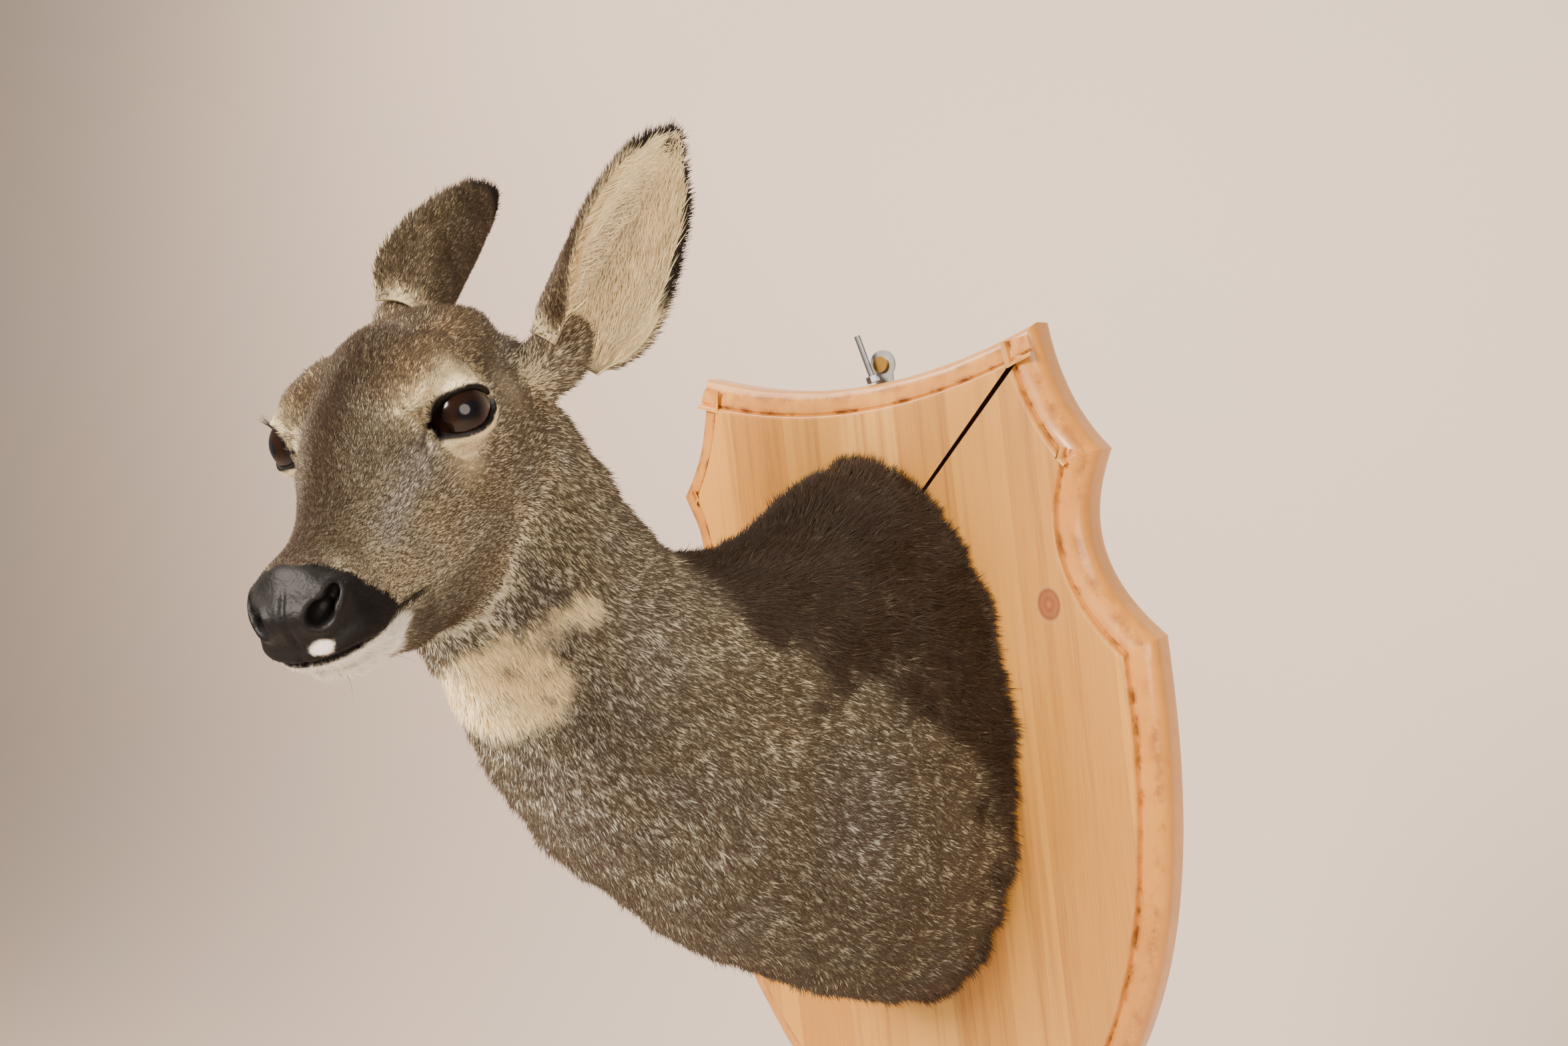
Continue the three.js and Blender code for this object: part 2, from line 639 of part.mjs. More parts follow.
add('chest', geometryOfSolid(flesh.chest), paints.shoulderHair);
add('neck', geometryOfSolid(flesh.neck), paints.neckHair);
add('head', geometryOfSolid(flesh.head), paints.headHair);
add('lower_jaw', geometryOfSolid(flesh.lower_jaw), paints.jawHair);
add('nose', geometryOfSolid(flesh.nose), paints.noseSkin);

const around = swollenPoll();
for (const [side, ear] of Object.entries(ears)) {
  add(`ear_${side}`, geometryOfSolid(earSolid(ear, around)), paints.earHair);
}
for (const [side, sign] of [['left', 1], ['right', -1]]) {
  add(`eye_${side}`, ballAt(eyeCentre(sign), eye.radius), paints.eyeGlass);
}

add('shield_board', geometryOfSolid(boardSolid()), paints.pine);
add('hanger_plate', geometryOfSolid(hangerPlate()), paints.zinc);
add('hanger_hub', lyingDisc(hub.radius, hub.thick, washer.x,
  strap.y - strap.thick / 2 - hub.thick / 2 - gap, washer.z), paints.brass);
add('hanger_pin', pinGeometry(), paints.steel);

export default group;
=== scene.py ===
# Roe deer shoulder mount, a doe in winter coat, on a varnished shield board.
# Shapes are worked out in millimetres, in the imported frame, and scaled to metres as each piece is made.
import bpy, bmesh, math
import numpy as np
from mathutils import Matrix, Vector


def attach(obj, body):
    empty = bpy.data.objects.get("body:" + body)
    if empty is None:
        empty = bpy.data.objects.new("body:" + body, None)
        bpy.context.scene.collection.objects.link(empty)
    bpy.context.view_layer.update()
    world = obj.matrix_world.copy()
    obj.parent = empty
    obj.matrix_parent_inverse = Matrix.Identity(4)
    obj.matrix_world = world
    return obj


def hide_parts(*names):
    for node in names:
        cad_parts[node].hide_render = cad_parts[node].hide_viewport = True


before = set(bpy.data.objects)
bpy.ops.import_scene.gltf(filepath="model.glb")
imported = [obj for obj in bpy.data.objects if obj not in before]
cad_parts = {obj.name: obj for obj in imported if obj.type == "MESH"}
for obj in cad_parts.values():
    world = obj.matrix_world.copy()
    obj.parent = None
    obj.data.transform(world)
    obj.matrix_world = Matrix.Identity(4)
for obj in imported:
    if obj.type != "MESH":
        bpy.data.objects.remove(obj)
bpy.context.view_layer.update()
mm = 0.001

# ---- camera

camera = {
    "place": (470.3, -763.9, 175.8),
    "turn": 36.0,           # degrees to the left of straight at the wall
    "pitch": -1.9,
    "roll": 6.7,
    "focal": 2100.0,        # in pixels of the full image
    "imageWidth": 2350.0,
    "sensor": 36.0,
}


def addCamera():
    turn, pitch, roll = (math.radians(camera[key]) for key in ("turn", "pitch", "roll"))
    forward = Vector((-math.sin(turn) * math.cos(pitch), math.cos(turn) * math.cos(pitch), math.sin(pitch)))
    level = Vector((math.cos(turn), math.sin(turn), 0))
    upright = level.cross(forward)
    right = level * math.cos(roll) - upright * math.sin(roll)
    up = level * math.sin(roll) + upright * math.cos(roll)
    data = bpy.data.cameras.new("camera")
    data.sensor_width = camera["sensor"]
    data.sensor_fit = "HORIZONTAL"
    data.lens = camera["focal"] / camera["imageWidth"] * camera["sensor"]
    data.clip_start, data.clip_end = 0.01, 30
    made = bpy.data.objects.new("camera", data)
    made.matrix_world = Matrix.Translation(Vector(camera["place"]) * mm) @ Matrix((right, up,
        -forward)).transposed().to_4x4()
    bpy.context.scene.collection.objects.link(made)
    bpy.context.scene.camera = made


addCamera()

# ---- small maths


def softMin(a, b, width):
    h = np.clip(0.5 + 0.5 * (b - a) / width, 0, 1)
    return b + (a - b) * h - width * h * (1 - h)


def softMax(a, b, width):
    return -softMin(-a, -b, width)


def ramp(value, start, stop):
    h = np.clip((value - start) / (stop - start), 0, 1)
    return h * h * (3 - 2 * h)


# A rounded hill, 1 at nothing and falling away past 1 on either side.
def hill(x):
    return np.exp(-(x**2))


def unit(v):
    return v / np.maximum(np.linalg.norm(v, axis=-1, keepdims=True), 1e-9)


# A smooth curve through the rows of a table, at place t counted in rows.
def between(table, t):
    last = len(table) - 1
    i = np.clip(np.floor(t).astype(int), 0, last - 1)
    u = (t - i)[..., None]
    before, start = table[np.maximum(i - 1, 0)], table[i]
    stop, after = table[i + 1], table[np.minimum(i + 2, last)]
    leave, arrive = (stop - before) / 2, (after - start) / 2
    return ((2 * u**3 - 3 * u**2 + 1) * start + (u**3 - 2 * u**2 + u) * leave
            + (3 * u**2 - 2 * u**3) * stop + (u**3 - u**2) * arrive)


def ballDistance(p, centre, radii):
    q = (p - np.array(centre, float)) / np.array(radii, float)
    k = np.linalg.norm(q, axis=1) + 1e-9
    return k * (k - 1) / (np.linalg.norm(q / np.array(radii, float), axis=1) + 1e-9)


def ovalDistance(a, b, w, h, square):
    p, q = np.abs(a) / w, np.abs(b) / h
    k = (p**square + q**square) ** (1 / square) + 1e-9
    slope = np.hypot(p ** (square - 1) / w, q ** (square - 1) / h) * k ** (1 - square) + 1e-9
    return np.where(k < 0.3, -np.minimum(w, h) * (1 - k), (k - 1) / slope)


def segmentDistance(p, a, b):
    a, b = np.array(a, float), np.array(b, float)
    share = np.clip((p - a) @ (b - a) / ((b - a) @ (b - a)), 0, 1)
    return np.linalg.norm(p - a - share[:, None] * (b - a), axis=1)


def mirrored(q):
    return np.column_stack([np.abs(q[:, 0]), q[:, 1], q[:, 2]])


# An even, seamless wandering value, about -1 to 1, whose hills are about this many mm across.
def wander(p, size, seed):
    rng = np.random.default_rng(seed)
    total = np.zeros(len(p))
    for n in range(7):
        wave = rng.normal(size=3)
        wave *= rng.uniform(0.6, 1.5) * math.pi / size / np.linalg.norm(wave)
        total += np.sin(p @ wave + rng.uniform(0, 2 * math.pi))
    return total / 2.6


# ---- the animal's outline, out to the tips of the coat

body = {
    # yTop, zTop, yLow, zLow, half width, squareness, sideways place, from the board to the poll
    "stations": [
        (0, 180, 0, -158, 85, 2.0, 0), (-40, 180, -52, -154, 85, 2.0, 0),
        (-85, 171, -112, -130, 81, 2.05, 0), (-122, 152, -172, -98, 76, 2.1, 0),
        (-162, 145, -226, -63, 68, 2.1, 0), (-198, 142, -273, -26, 60, 2.15, 0),
        (-227, 146, -313, 11, 52, 2.15, 0), (-250, 168, -340, 52, 45, 2.15, -4),
        (-267, 199, -357, 92, 40, 2.15, -9), (-283, 231, -368, 122, 37, 2.15, -16),
        (-299, 262, -380, 150, 34, 2.15, -22),
    ],
    "cutsPerStation": 4,
    "coatDepth": (8.0, 7.5, 6.5, 6.0, 5.5, 5.0, 4.6, 4.4, 4.2, 4.0, 4.0),
    "boardFace": -30.8,      # where the hide stops
}
head = {
    "middle": (1, -390.5, 215.5), "scale": 0.95, "turn": 23.3, "droop": 37.4, "tilt": 3.6,
    # place, top, low, half width, upper taper, lower taper, from the poll to the lips
    "stations": [
        (-98, -18, -40, 24, 0.1, 0.1), (-76, 14, -70, 35.5, -0.1, 0.2), (-50, 23, -88, 39, 0.3, 0.3),
        (-22, 35, -96, 42, 0.33, 0.3), (6, 33, -96, 41, 0.38, 0.2), (32, 27.5, -88, 35, 0.28, 0.0),
        (58, 16.5, -75, 24.5, 0.23, -0.2), (82, 10.5, -60, 19, 0.16, -0.2), (104, 12, -42, 19, 0.15, 0.2),
    ],
    "square": 2.3,
    "lean": (-10, 90, -2),
    "masses": [
        ((0, 98.5, -6.5), (23, 21, 13), 8, False), ((0, 97.5, -21), (26, 24, 16.5), 8, False),
        ((0, 91, -39.5), (21, 21.5, 11.5), 6, False), ((27.5, -4.5, 18), (12.5, 25.5, 8), 14, True),
        ((32, -3, 1), (15.5, 21, 17), 10, True), ((28, -34, -36), (19, 32, 32), 12, True),
        ((24, -42, 2), (15, 32, 17), 14, True),
    ],
    "depthAt": (-98, -60, -20, 20, 60, 88, 98, 106, 125),
    "coatDepth": (4.2, 3.8, 2.8, 2.0, 1.6, 1.2, 0.8, 0.4, 0.35),
}
eyes = {
    "centre": (38.5, 1, 0), "radius": 13.2,
    "out": (0.727, 0.588, 0.353),       # where the pupil looks, in the head's frame
    "slit": (-0.676, 0.702, 0.224),     # along the opening, to the tear gland
    "lidThick": 1.9, "socketDeep": 1.3,
    "upper": (0.6, 0.0, 1.1, 2.8), "lower": (-0.58, 0.1, 1.06,
                                             2.6),   # height, middle, half length, fullness
    "cornea": (0.022, 0.55),    # how far the clear front stands out, and how wide it is
    "pupil": (0.42, 0.27),      # half width and half height, as shares of the radius
    "steps": (72, 48),
}
ears = {
    "length": 120,
    # share of the length, radius of the roll, half width round it, thickness with the coat
    "leaf": [(0, 19, 41, 9), (0.14, 25, 47, 8), (0.28, 31, 46, 7), (0.45, 36, 41, 6.5),
             (0.62, 38, 34, 6), (0.78, 38, 26, 5.5), (0.92, 38, 13, 5), (1, 38, 3, 4.5)],
    "left": {"root": (42, -94, -28), "along": (0.62, -0.62, 0.46), "open": (0.26, 0.91, -0.33),
             "size": 1.0},
    "right": {"root": (-14, -100, -12), "along": (0.12, -0.98, 0.15), "open": (-0.94, 0.01, 0.34),
              "size": 0.88},
    "gristle": 0.8,      # half the thickness of the bare ear
    "rootMiddle": (0, 16, -2), "rootRadii": (13, 10, 18),
}

bodyTable = np.array(body["stations"], float)
bodyDepth = np.array(body["coatDepth"], float)
cuts = between(bodyTable[:, :4], np.linspace(0, 10, 10 * body["cutsPerStation"] + 1))
cutAcross = unit(cuts[:, :2] - cuts[:, 2:])
cutNormal = np.stack([-cutAcross[:, 1], cutAcross[:, 0]], 1)       # y and z, toward the head


def headAxes():
    turn, droop, tilt = (math.radians(head[key]) for key in ("turn", "droop", "tilt"))
    forward = np.array([math.sin(turn) * math.cos(droop), -math.cos(turn) * math.cos(droop),
                        -math.sin(droop)])
    level = np.array([math.cos(turn), math.sin(turn), 0.0])
    upright = np.cross(forward, level)
    left = math.cos(tilt) * level + math.sin(tilt) * upright
    up = math.cos(tilt) * upright - math.sin(tilt) * level
    return np.stack([left, forward, up])


headRows = headAxes()
headTable = np.array(head["stations"], float)


def toHead(p):
    q = (p - np.array(head["middle"])) @ headRows.T / head["scale"]
    start, over, by = head["lean"]
    q[:, 0] -= by * np.clip((start - q[:, 1]) / over, 0, 1)
    return q


def fromHead(q):
    return head["scale"] * (np.asarray(q, float) @ headRows) + np.array(head["middle"])


# Place along the body (0 at the board, 10 at the poll), and the cut's own coordinates there.
def bodyPlace(p):
    past = ((p[:, 1:2] - cuts[:, 2]) * cutNormal[:, 0] + (p[:, 2:3] - cuts[:, 3]) * cutNormal[:, 1])
    k = np.clip((past > 0).sum(1) - 1, 0, len(cuts) - 2)
    here = np.take_along_axis(past, k[:, None], 1)[:, 0]
    there = np.take_along_axis(past, k[:, None] + 1, 1)[:, 0]
    span = here - there
    t = (k + np.clip(here / np.where(np.abs(span) < 1e-6, 1e-6, span), 0, 1)) / body["cutsPerStation"]
    yTop, zTop, yLow, zLow, half, square, side = between(bodyTable, t).T
    dy, dz = (yTop - yLow) / 2, (zTop - zLow) / 2
    high = np.hypot(dy, dz)
    across = ((p[:, 1] - (yTop + yLow) / 2) * dy + (p[:, 2] - (zTop + zLow) / 2) * dz) / high
    return {"t": t, "beyond": past[:, -1], "x": p[:, 0] - side, "v": across, "half": half, "high": high,
            "square": square}


def bodyDistance(p, depth=True):
    b = bodyPlace(p)
    d = ovalDistance(b["x"], b["v"], b["half"], b["high"], b["square"])
    if depth:
        lumps = 1.1 * wander(p, 34, 3) + 0.5 * wander(p, 13, 4)
        edge = ramp(p[:, 1], -75, -34)
        d = d + np.interp(b["t"], range(11), bodyDepth) + lumps - 2.2 * edge * wander(p, 17, 5)
    return softMax(d, b["beyond"], 14), b


def skullDistance(q):
    t = np.interp(q[:, 1], headTable[:, 0], np.arange(len(headTable)))
    _, top, low, half, upper, lower = between(headTable, t).T
    high, rise = (top - low) / 2, q[:, 2] - (top + low) / 2
    half = half * (1 - upper * np.clip(rise / high, 0, 1.2) ** 2 - lower * np.clip(-rise / high, 0,
        1.2) ** 2)
    d = ovalDistance(q[:, 0], rise, half, high, head["square"])
    return softMax(softMax(d, q[:, 1] - headTable[-1, 0], 10), headTable[0, 0] - q[:, 1], 16)


eyeOut = unit(np.array(eyes["out"]))
eyeSlit = unit(np.array(eyes["slit"]) - eyeOut * (np.array(eyes["slit"]) @ eyeOut))
eyeUp = np.cross(eyeOut, eyeSlit)


def lidHeight(lid, along):
    height, middle, half, fullness = eyes[lid]
    return height * (1 - np.abs((along - middle) / half) ** fullness)


# Distance in mm from the eye's centre, and how far a direction lies outside the opening of the lids.
def eyePlace(q):
    w = (mirrored(q) - np.array(eyes["centre"])) * head["scale"]
    far = np.linalg.norm(w, axis=1) + 1e-9
    out, along, up = (w @ axis / far for axis in (eyeOut, eyeSlit, eyeUp))
    above, below = up - lidHeight("upper", along), lidHeight("lower", along) - up
    beyond = np.maximum(np.maximum(above, below), -(out + 0.25)) * eyes["radius"]
    return far, beyond, above * eyes["radius"], below * eyes["radius"], along


mouth = {"at": (55, 60, 80, 100, 114, 122), "up": (-46, -44.5, -37, -30, -24, -23), "deep": 3.0,
         "wide": 1.25, "corner": 58}
nostril = {"middle": (13.0, 113.5, -5.0), "radii": (4.6, 8.0, 4.6), "tail": (17.6, 107.5, -1.8),
           "tailRadii": (2.0, 6.0, 2.8)}
tearLine = ((31.5, 18, 6.5), (28.5, 24, 0.5))


def mouthRise(q):
    return q[:, 2] - np.interp(q[:, 1], mouth["at"], mouth["up"])


def headDistance(p, depth=True):
    q = toHead(p)
    d = skullDistance(q)
    m = mirrored(q)
    for centre, radii, blend, both in head["masses"]:
        d = softMin(d, ballDistance(m if both else q, centre, radii), blend)
    d = d * head["scale"]
    if not depth:
        return d, q
    far, beyond, above, below, _ = eyePlace(q)
    coat = np.interp(q[:, 1], head["depthAt"], head["coatDepth"])
    chin = ramp(-mouthRise(q), 2, 12) * ramp(q[:, 1], 60, 80)
    coat = coat + 1.8 * chin
    coat = coat * (0.35 + 0.65 * ramp(far, 17, 27))
    d = d + coat + 0.25 * wander(p, 11, 6)
    # nose: wings round the nostrils, the nostrils themselves and the groove between them
    hole = ballDistance(m, nostril["middle"], nostril["radii"])
    tail = ballDistance(m, nostril["tail"], nostril["tailRadii"])
    hole = softMin(hole, tail, 2.5)
    d = d - hill((hole - 1.8) / 1.6)
    d = softMax(d, -hole * head["scale"], 1.3)
    groove = hill(q[:, 0] / 1.0) * ramp(q[:, 1], 104, 112) * ramp(-mouthRise(q), -34, -26)
    d = d + 1.3 * groove
    # mouth
    rise = mouthRise(q)
    d = d + mouth["deep"] * hill(rise / mouth["wide"]) * ramp(q[:, 1], mouth["corner"] - 4,
        mouth["corner"] + 6)
    d = d - 0.8 * hill((rise - 4) / 3) * ramp(q[:, 1], 62, 84)
    # lids: a shell round the eyeball with an almond opening, a fold above and one below
    d = softMin(d, far - eyes["radius"] - eyes["lidThick"], 3.2)
    near = ramp(-far, -24, -17)
    d = d + 0.7 * near * hill((above - 5.2) / 1.2) + 0.45 * near * hill((below - 4.2) / 1.2)
    opening = np.maximum.reduce([beyond, eyes["radius"] - eyes["socketDeep"] - far,
                                 far - eyes["radius"] - 3.4])
    d = softMax(d, -opening, 0.9)
    d = d + 1.6 * hill(segmentDistance(m, *tearLine) / 1.6)
    return d, q


def earFrame(side):
    e = ears[side]
    along = unit(np.array(e["along"]))
    facing = unit(np.array(e["open"]) - along * (np.array(e["open"]) @ along))
    rows = np.stack([np.cross(along, facing), facing, along]) * e["size"]
    return rows, np.array(e["root"], float)


def fromEar(side, local):
    rows, root = earFrame(side)
    return fromHead(local @ rows + root)


def toEar(side, q):
    rows, root = earFrame(side)
    return (q - root) @ rows.T / ears[side]["size"] ** 2


# The flesh under the coat: body and head in one, with stubs for the ears, cut off at the board.
def hideDistance(p):
    bodyD, _ = bodyDistance(p)
    headD, q = headDistance(p)
    d = softMin(bodyD, headD, 16)
    for side in ("left", "right"):
        stub = ballDistance(toEar(side, q), ears["rootMiddle"], ears["rootRadii"])
        d = softMin(d, stub * head["scale"] * ears[side]["size"], 15)
    return softMax(d, p[:, 1] - body["boardFace"], 1.0)


# ---- a closed net over the flesh, finer over the face than over the shoulder


def inChunks(work, p, size=150000):
    return np.concatenate([work(p[i:i + size]) for i in range(0, len(p), size)])


def slope(p, step=0.5):
    g = np.empty_like(p)
    for k in range(3):
        shift = np.zeros(3)
        shift[k] = step
        g[:, k] = (hideDistance(p + shift) - hideDistance(p - shift)) / (2 * step)
    return g


net = {
    "x": [(-112, -64, 2.4), (-64, 70, 1.25), (70, 112, 2.4)],
    "y": [(-505, -355, 1.25), (-355, -250, 2.4), (-250, -27, 3.4)],
    "z": [(-182, 92, 3.4), (92, 262, 1.25), (262, 352, 2.4)],
    "block": 6,
}


def netAxis(parts):
    stops = [np.arange(start, stop - step * 0.5, step) for start, stop, step in parts]
    axis = np.concatenate(stops)
    spare = (1 - len(axis)) % net["block"]
    return np.concatenate([axis, axis[-1] + parts[-1][2] * np.arange(1, spare + 1)])


def surfaceNet(distance):
    axes = [netAxis(net[key]) for key in "xyz"]
    block = net["block"]
    middles = [(a[:-1:block] + a[block::block]) / 2 for a in axes]
    halves = [(a[block::block] - a[:-1:block]) / 2 for a in axes]
    blocks = np.stack(np.meshgrid(*[np.arange(len(m)) for m in middles], indexing="ij"), -1).reshape(-1, 3)
    centre = np.stack([middles[k][blocks[:, k]] for k in range(3)], -1)
    reach = np.linalg.norm(np.stack([halves[k][blocks[:, k]] for k in range(3)], -1), axis=1)
    blocks = blocks[np.abs(inChunks(distance, centre)) < reach * 1.5]
    o = np.arange(block + 1)
    local = np.stack(np.meshgrid(o, o, o, indexing="ij"), -1).reshape(-1, 3)
    index = (blocks[:, None, :] * block + local[None]).reshape(-1, 3)
    points = np.stack([axes[k][index[:, k]] for k in range(3)], -1)
    values = inChunks(distance, points).reshape(len(blocks), block + 1, block + 1, block + 1)
    corners = np.array([(i, j, k) for i in (0, 1) for j in (0, 1) for k in (0, 1)])
    cube = [values[:, i:i + block, j:j + block, k:k + block] for i, j, k in corners]
    inside = np.stack([c < 0 for c in cube], -1)
    crossed = np.nonzero(inside.any(-1) & ~inside.all(-1))
    cell = blocks[crossed[0]] * block + np.stack(crossed[1:], -1)
    at = np.stack([c[crossed] for c in cube], -1)
    low = np.stack([axes[k][cell[:, k]] for k in range(3)], -1)
    high = np.stack([axes[k][cell[:, k] + 1] for k in range(3)], -1)
    total, count = np.zeros((len(cell), 3)), np.zeros(len(cell))
    for a in range(8):
        for bit in (1, 2, 4):
            if a & bit:
                continue
            va, vb = at[:, a], at[:, a | bit]
            cut = (va < 0) != (vb < 0)
            share = np.where(cut, va / np.where(cut, va - vb, 1), 0)[:, None]
            total += (corners[a] + (corners[a | bit] - corners[a]) * share) * cut[:, None]
            count += cut
    points = low + (high - low) * (total / count[:, None])
    sizes = np.array([len(axes[1]) * len(axes[2]), len(axes[2]), 1])
    key = cell @ sizes
    order = np.argsort(key)
    key, points, cell, at = key[order], points[order], cell[order], at[order]
    quads = []
    for axis in range(3):
        inside0, inside1 = at[:, 0] < 0, at[:, (4, 2, 1)[axis]] < 0
        chosen = inside0 != inside1
        u, w = sizes[(axis + 1) % 3], sizes[(axis + 2) % 3]
        wanted = np.stack([key[chosen] - shift for shift in (0, u, u + w, w)], -1)
        found = np.clip(np.searchsorted(key, wanted), 0, len(key) - 1)
        good = (key[found] == wanted).all(1)
        quad, flip = found[good], ~inside0[chosen][good]
        quad[flip] = quad[flip][:, ::-1]
        quads.append(quad)
    return points, np.concatenate(quads)


hidePoints, hideQuads = surfaceNet(hideDistance)
for _ in range(2):      # the net's points drawn onto the true surface
    pull = inChunks(slope, hidePoints)
    size = np.maximum((pull**2).sum(1), 0.05)
    step = pull * (inChunks(hideDistance, hidePoints) / size)[:, None]
    hidePoints = hidePoints - step * np.minimum(1,
                                                1.2 / np.maximum(np.linalg.norm(step, axis=1,
                                                    keepdims=True), 1e-9))
hideNormals = unit(inChunks(slope, hidePoints))
print("flesh net", len(hidePoints), "points", len(hideQuads), "quads")

# ---- markings, the same on skin and coat

marks = {
    "names": ("grey", "warm", "cream", "white", "dark", "black"),
    # the pale patch under the jaw and its arm toward the ear, in the board's frame
    "throat": ((4, -346, 101), (31, 26, 21)), "throatArm": ((8, -350, 118), (27, -314, 131)),
    "lipSpot": ((9.5, 115, -17), (5.8, 9, 3.2)),
    "bandAt": (60, 72, 80, 90, 96, 99, 102, 112),
    "bandTop": (-44, -40, -31, -18, -4, 8, 14, 30),
    "leatherFrom": 102.5,
    # round marks on the head in its own frame, mirrored: centre, size, strength
    "forehead": ((8, 20, 27), 12, 0.8), "underEye": ((40, 14, -15), 10, 0.65), "innerBrow": ((37, 14, 17),
        7, 0.6),
    "brow": ((42, -4, 16), 8, 0.7), "cheek": ((44, -37, -15), 12, 0.25), "browRidge": ((30, 22, 14), 9,
        0.3),
    # long marks: from, to, size, strength
    "temple": ((40, -30, 2), (42, -62, -14), 10, 0.4), "greyStreak": ((29, 30, -3), (20, 62, -10), 9, 0.95),
    "crown": ((24, 4, 26), (24, -62, 14), 13, 0.6), "mouthCorner": ((19, 74, -40), (23, 60, -46), 2.4, 1.0),
    "stripeWide": 23, "stripeAt": (-75, -40, -10, 14, 30, 50, 75, 88),
    "stripeDark": (0.35, 0.55, 0.85, 1.0, 1.0, 1.0, 1.0, 1.0),
    # how low the dark back reaches: places from the board to the poll, and shares of the cut's half height
    "backAt": (0, 1, 2, 3, 4, 5, 6, 7, 10), "backEdge": (-0.6, -0.32, 0.05, 0.22, 0.34, 0.46, 0.74, 1.05,
        1.2),
}


def spot(q, centre, size):
    return hill(np.linalg.norm(q - np.array(centre, float), axis=1) / size)


def roundMark(q, name):
    centre, size, strength = marks[name]
    return strength * spot(q, centre, size)


def longMark(q, name, more=0.0):
    start, stop, size, strength = marks[name]
    return strength * hill(segmentDistance(q, start, stop) / (size + more))


def markings(p):
    bodyD, b = bodyDistance(p, depth=False)
    headD, q = headDistance(p, depth=False)
    onHead = ramp(bodyD - headD, -9, 9)
    rough, fine = wander(p, 16, 21), wander(p, 5, 22)
    m = mirrored(q)
    l, f, u = q.T
    side = m[:, 0]
    far, beyond, *_, lidAlong = eyePlace(q)
    rise = mouthRise(q)
    top = ramp(u, -10, 8)
    # head
    stripe = hill(l / (marks["stripeWide"] + 3 * rough)) * top
    dark = stripe * np.interp(f, marks["stripeAt"], marks["stripeDark"])
    dark = np.maximum(dark, 0.85 * ramp(f, 50, 82) * ramp(u, -16, 0) * ramp(-side, -26, -8))
    dark = np.maximum(dark, roundMark(m, "forehead"))
    dark = np.maximum(dark, 0.55 * ramp(-side, -30, -10) * ramp(f, 5, 25) * ramp(u, 2, 14))
    jaw = ramp(-rise, 2, 7) * ramp(-f, -84, -72) * ramp(f, 5, 45) * ramp(u, -104, -86)
    dark = np.maximum(dark, jaw * (0.62 + 0.2 * rough))
    dark = np.maximum(dark, longMark(m, "temple"))
    grey = longMark(m, "greyStreak", 2 * rough)
    grey = np.maximum(grey, 0.4 * ramp(side, 18, 30) * ramp(-u, 0, 20) * (0.6 + 0.6 * rough))
    cream = sum(roundMark(m, name) for name in ("underEye", "innerBrow", "brow", "cheek", "browRidge"))
    cream = np.maximum(cream, 0.7 * ramp(-beyond, -5.5 - fine, -2.5) * ramp(-far, -22, -18))
    warm = longMark(m, "crown") + 0.2 * ramp(side, 15, 30)
    band = ramp(np.interp(f, marks["bandAt"], marks["bandTop"]) - u + 1.6 * fine, -1.6, 1.6)
    band = band * ramp(rise, -1.2, 0.4) * ramp(f, 60, 66)
    nose = ramp(f + 0.25 * u, marks["leatherFrom"] - 1, marks["leatherFrom"] + 1.5)
    lips = hill(rise / 1.7) * ramp(f, 58, 64)
    corner = longMark(m, "mouthCorner")
    rimWide = 0.5 + 1.7 * ramp(np.abs(lidAlong), 0.72, 0.95)
    rim = ramp(-beyond, -rimWide - 0.4, -rimWide + 0.4) * ramp(-far, -20, -17)
    tear = 0.85 * hill(segmentDistance(m, *tearLine) / 2.0)
    black = np.maximum.reduce([band, nose, lips, corner, rim, tear])
    white = ramp(-rise, 0.8, 2.6) * ramp(f - 0.3 * (-rise) + 2 * fine, 76, 84)
    lipSpot = ramp(-ballDistance(q, *marks["lipSpot"]) + 0.7 * fine, -0.6, 0.8)
    white = np.maximum(white, lipSpot)
    black = black * (1 - lipSpot) * (1 - ramp(-rise, 1.5, 3))
    headMarks = {"grey": grey, "warm": warm, "cream": cream, "white": white, "dark": dark, "black": black}
    # body
    t, v = b["t"], b["v"] / b["high"]
    edge = np.interp(t, marks["backAt"], marks["backEdge"])
    back = ramp(v + 0.10 * rough, edge - 0.14, edge + 0.14)
    rear = ramp(-t + 0.25 * rough, -1.5, -0.6) * 0.8
    lowBelly = 0.45 * ramp(-v, 0.45, 0.95) * ramp(-t, -5.5, -2)
    darkBody = np.maximum.reduce([0.97 * back, rear, lowBelly])
    throat = ramp(-ballDistance(p, *marks["throat"]) + 1.5 * rough + fine, -4, 3)
    arm = ramp(8 - segmentDistance(p, *marks["throatArm"]) + 1.5 * fine, -2, 4)
    throat = np.maximum(throat, 0.9 * arm)
    streaks = ramp(wander(p * np.array([0.5, 1.3, 1.3]), 5, 24), 0.7, 1.2)
    creamBody = throat * (1 - 0.6 * streaks)
    greyBody = np.maximum(0.7 * throat * streaks, 0.55 * ramp(-v, -0.1, 0.4) * ramp(t, 3, 5) + 0.2 * rough)
    silver = 0.95 * hill((t - 3.4) / 0.9) * hill((v + 0.3 + 0.05 * rough) / 0.35)
    frost = 0.8 * hill((t - 6.4) / 0.9) * ramp(-v, 0.55, 0.9)
    frost = np.maximum(frost, 0.6 * hill((t - 6.9) / 0.8) * hill((v - 0.1) / 0.45))
    greyBody = np.maximum.reduce([greyBody, silver, frost])
    warmBody = 0.3 * ramp(-t, -1.8, -0.6) + 0.15 * ramp(wander(p, 45, 25), 0, 0.8)
    bodyMarks = {"grey": greyBody, "warm": warmBody, "cream": creamBody, "white": 0 * v, "dark": darkBody,
                 "black": 0 * v}
    return {key: np.clip(bodyMarks[key] * (1 - onHead) + headMarks[key] * onHead, 0, 1).astype(np.float32)
            for key in marks["names"]}, onHead, q, b


# ---- unwrap of the hide: the body as a sleeve, the head as a disc seen round the nose


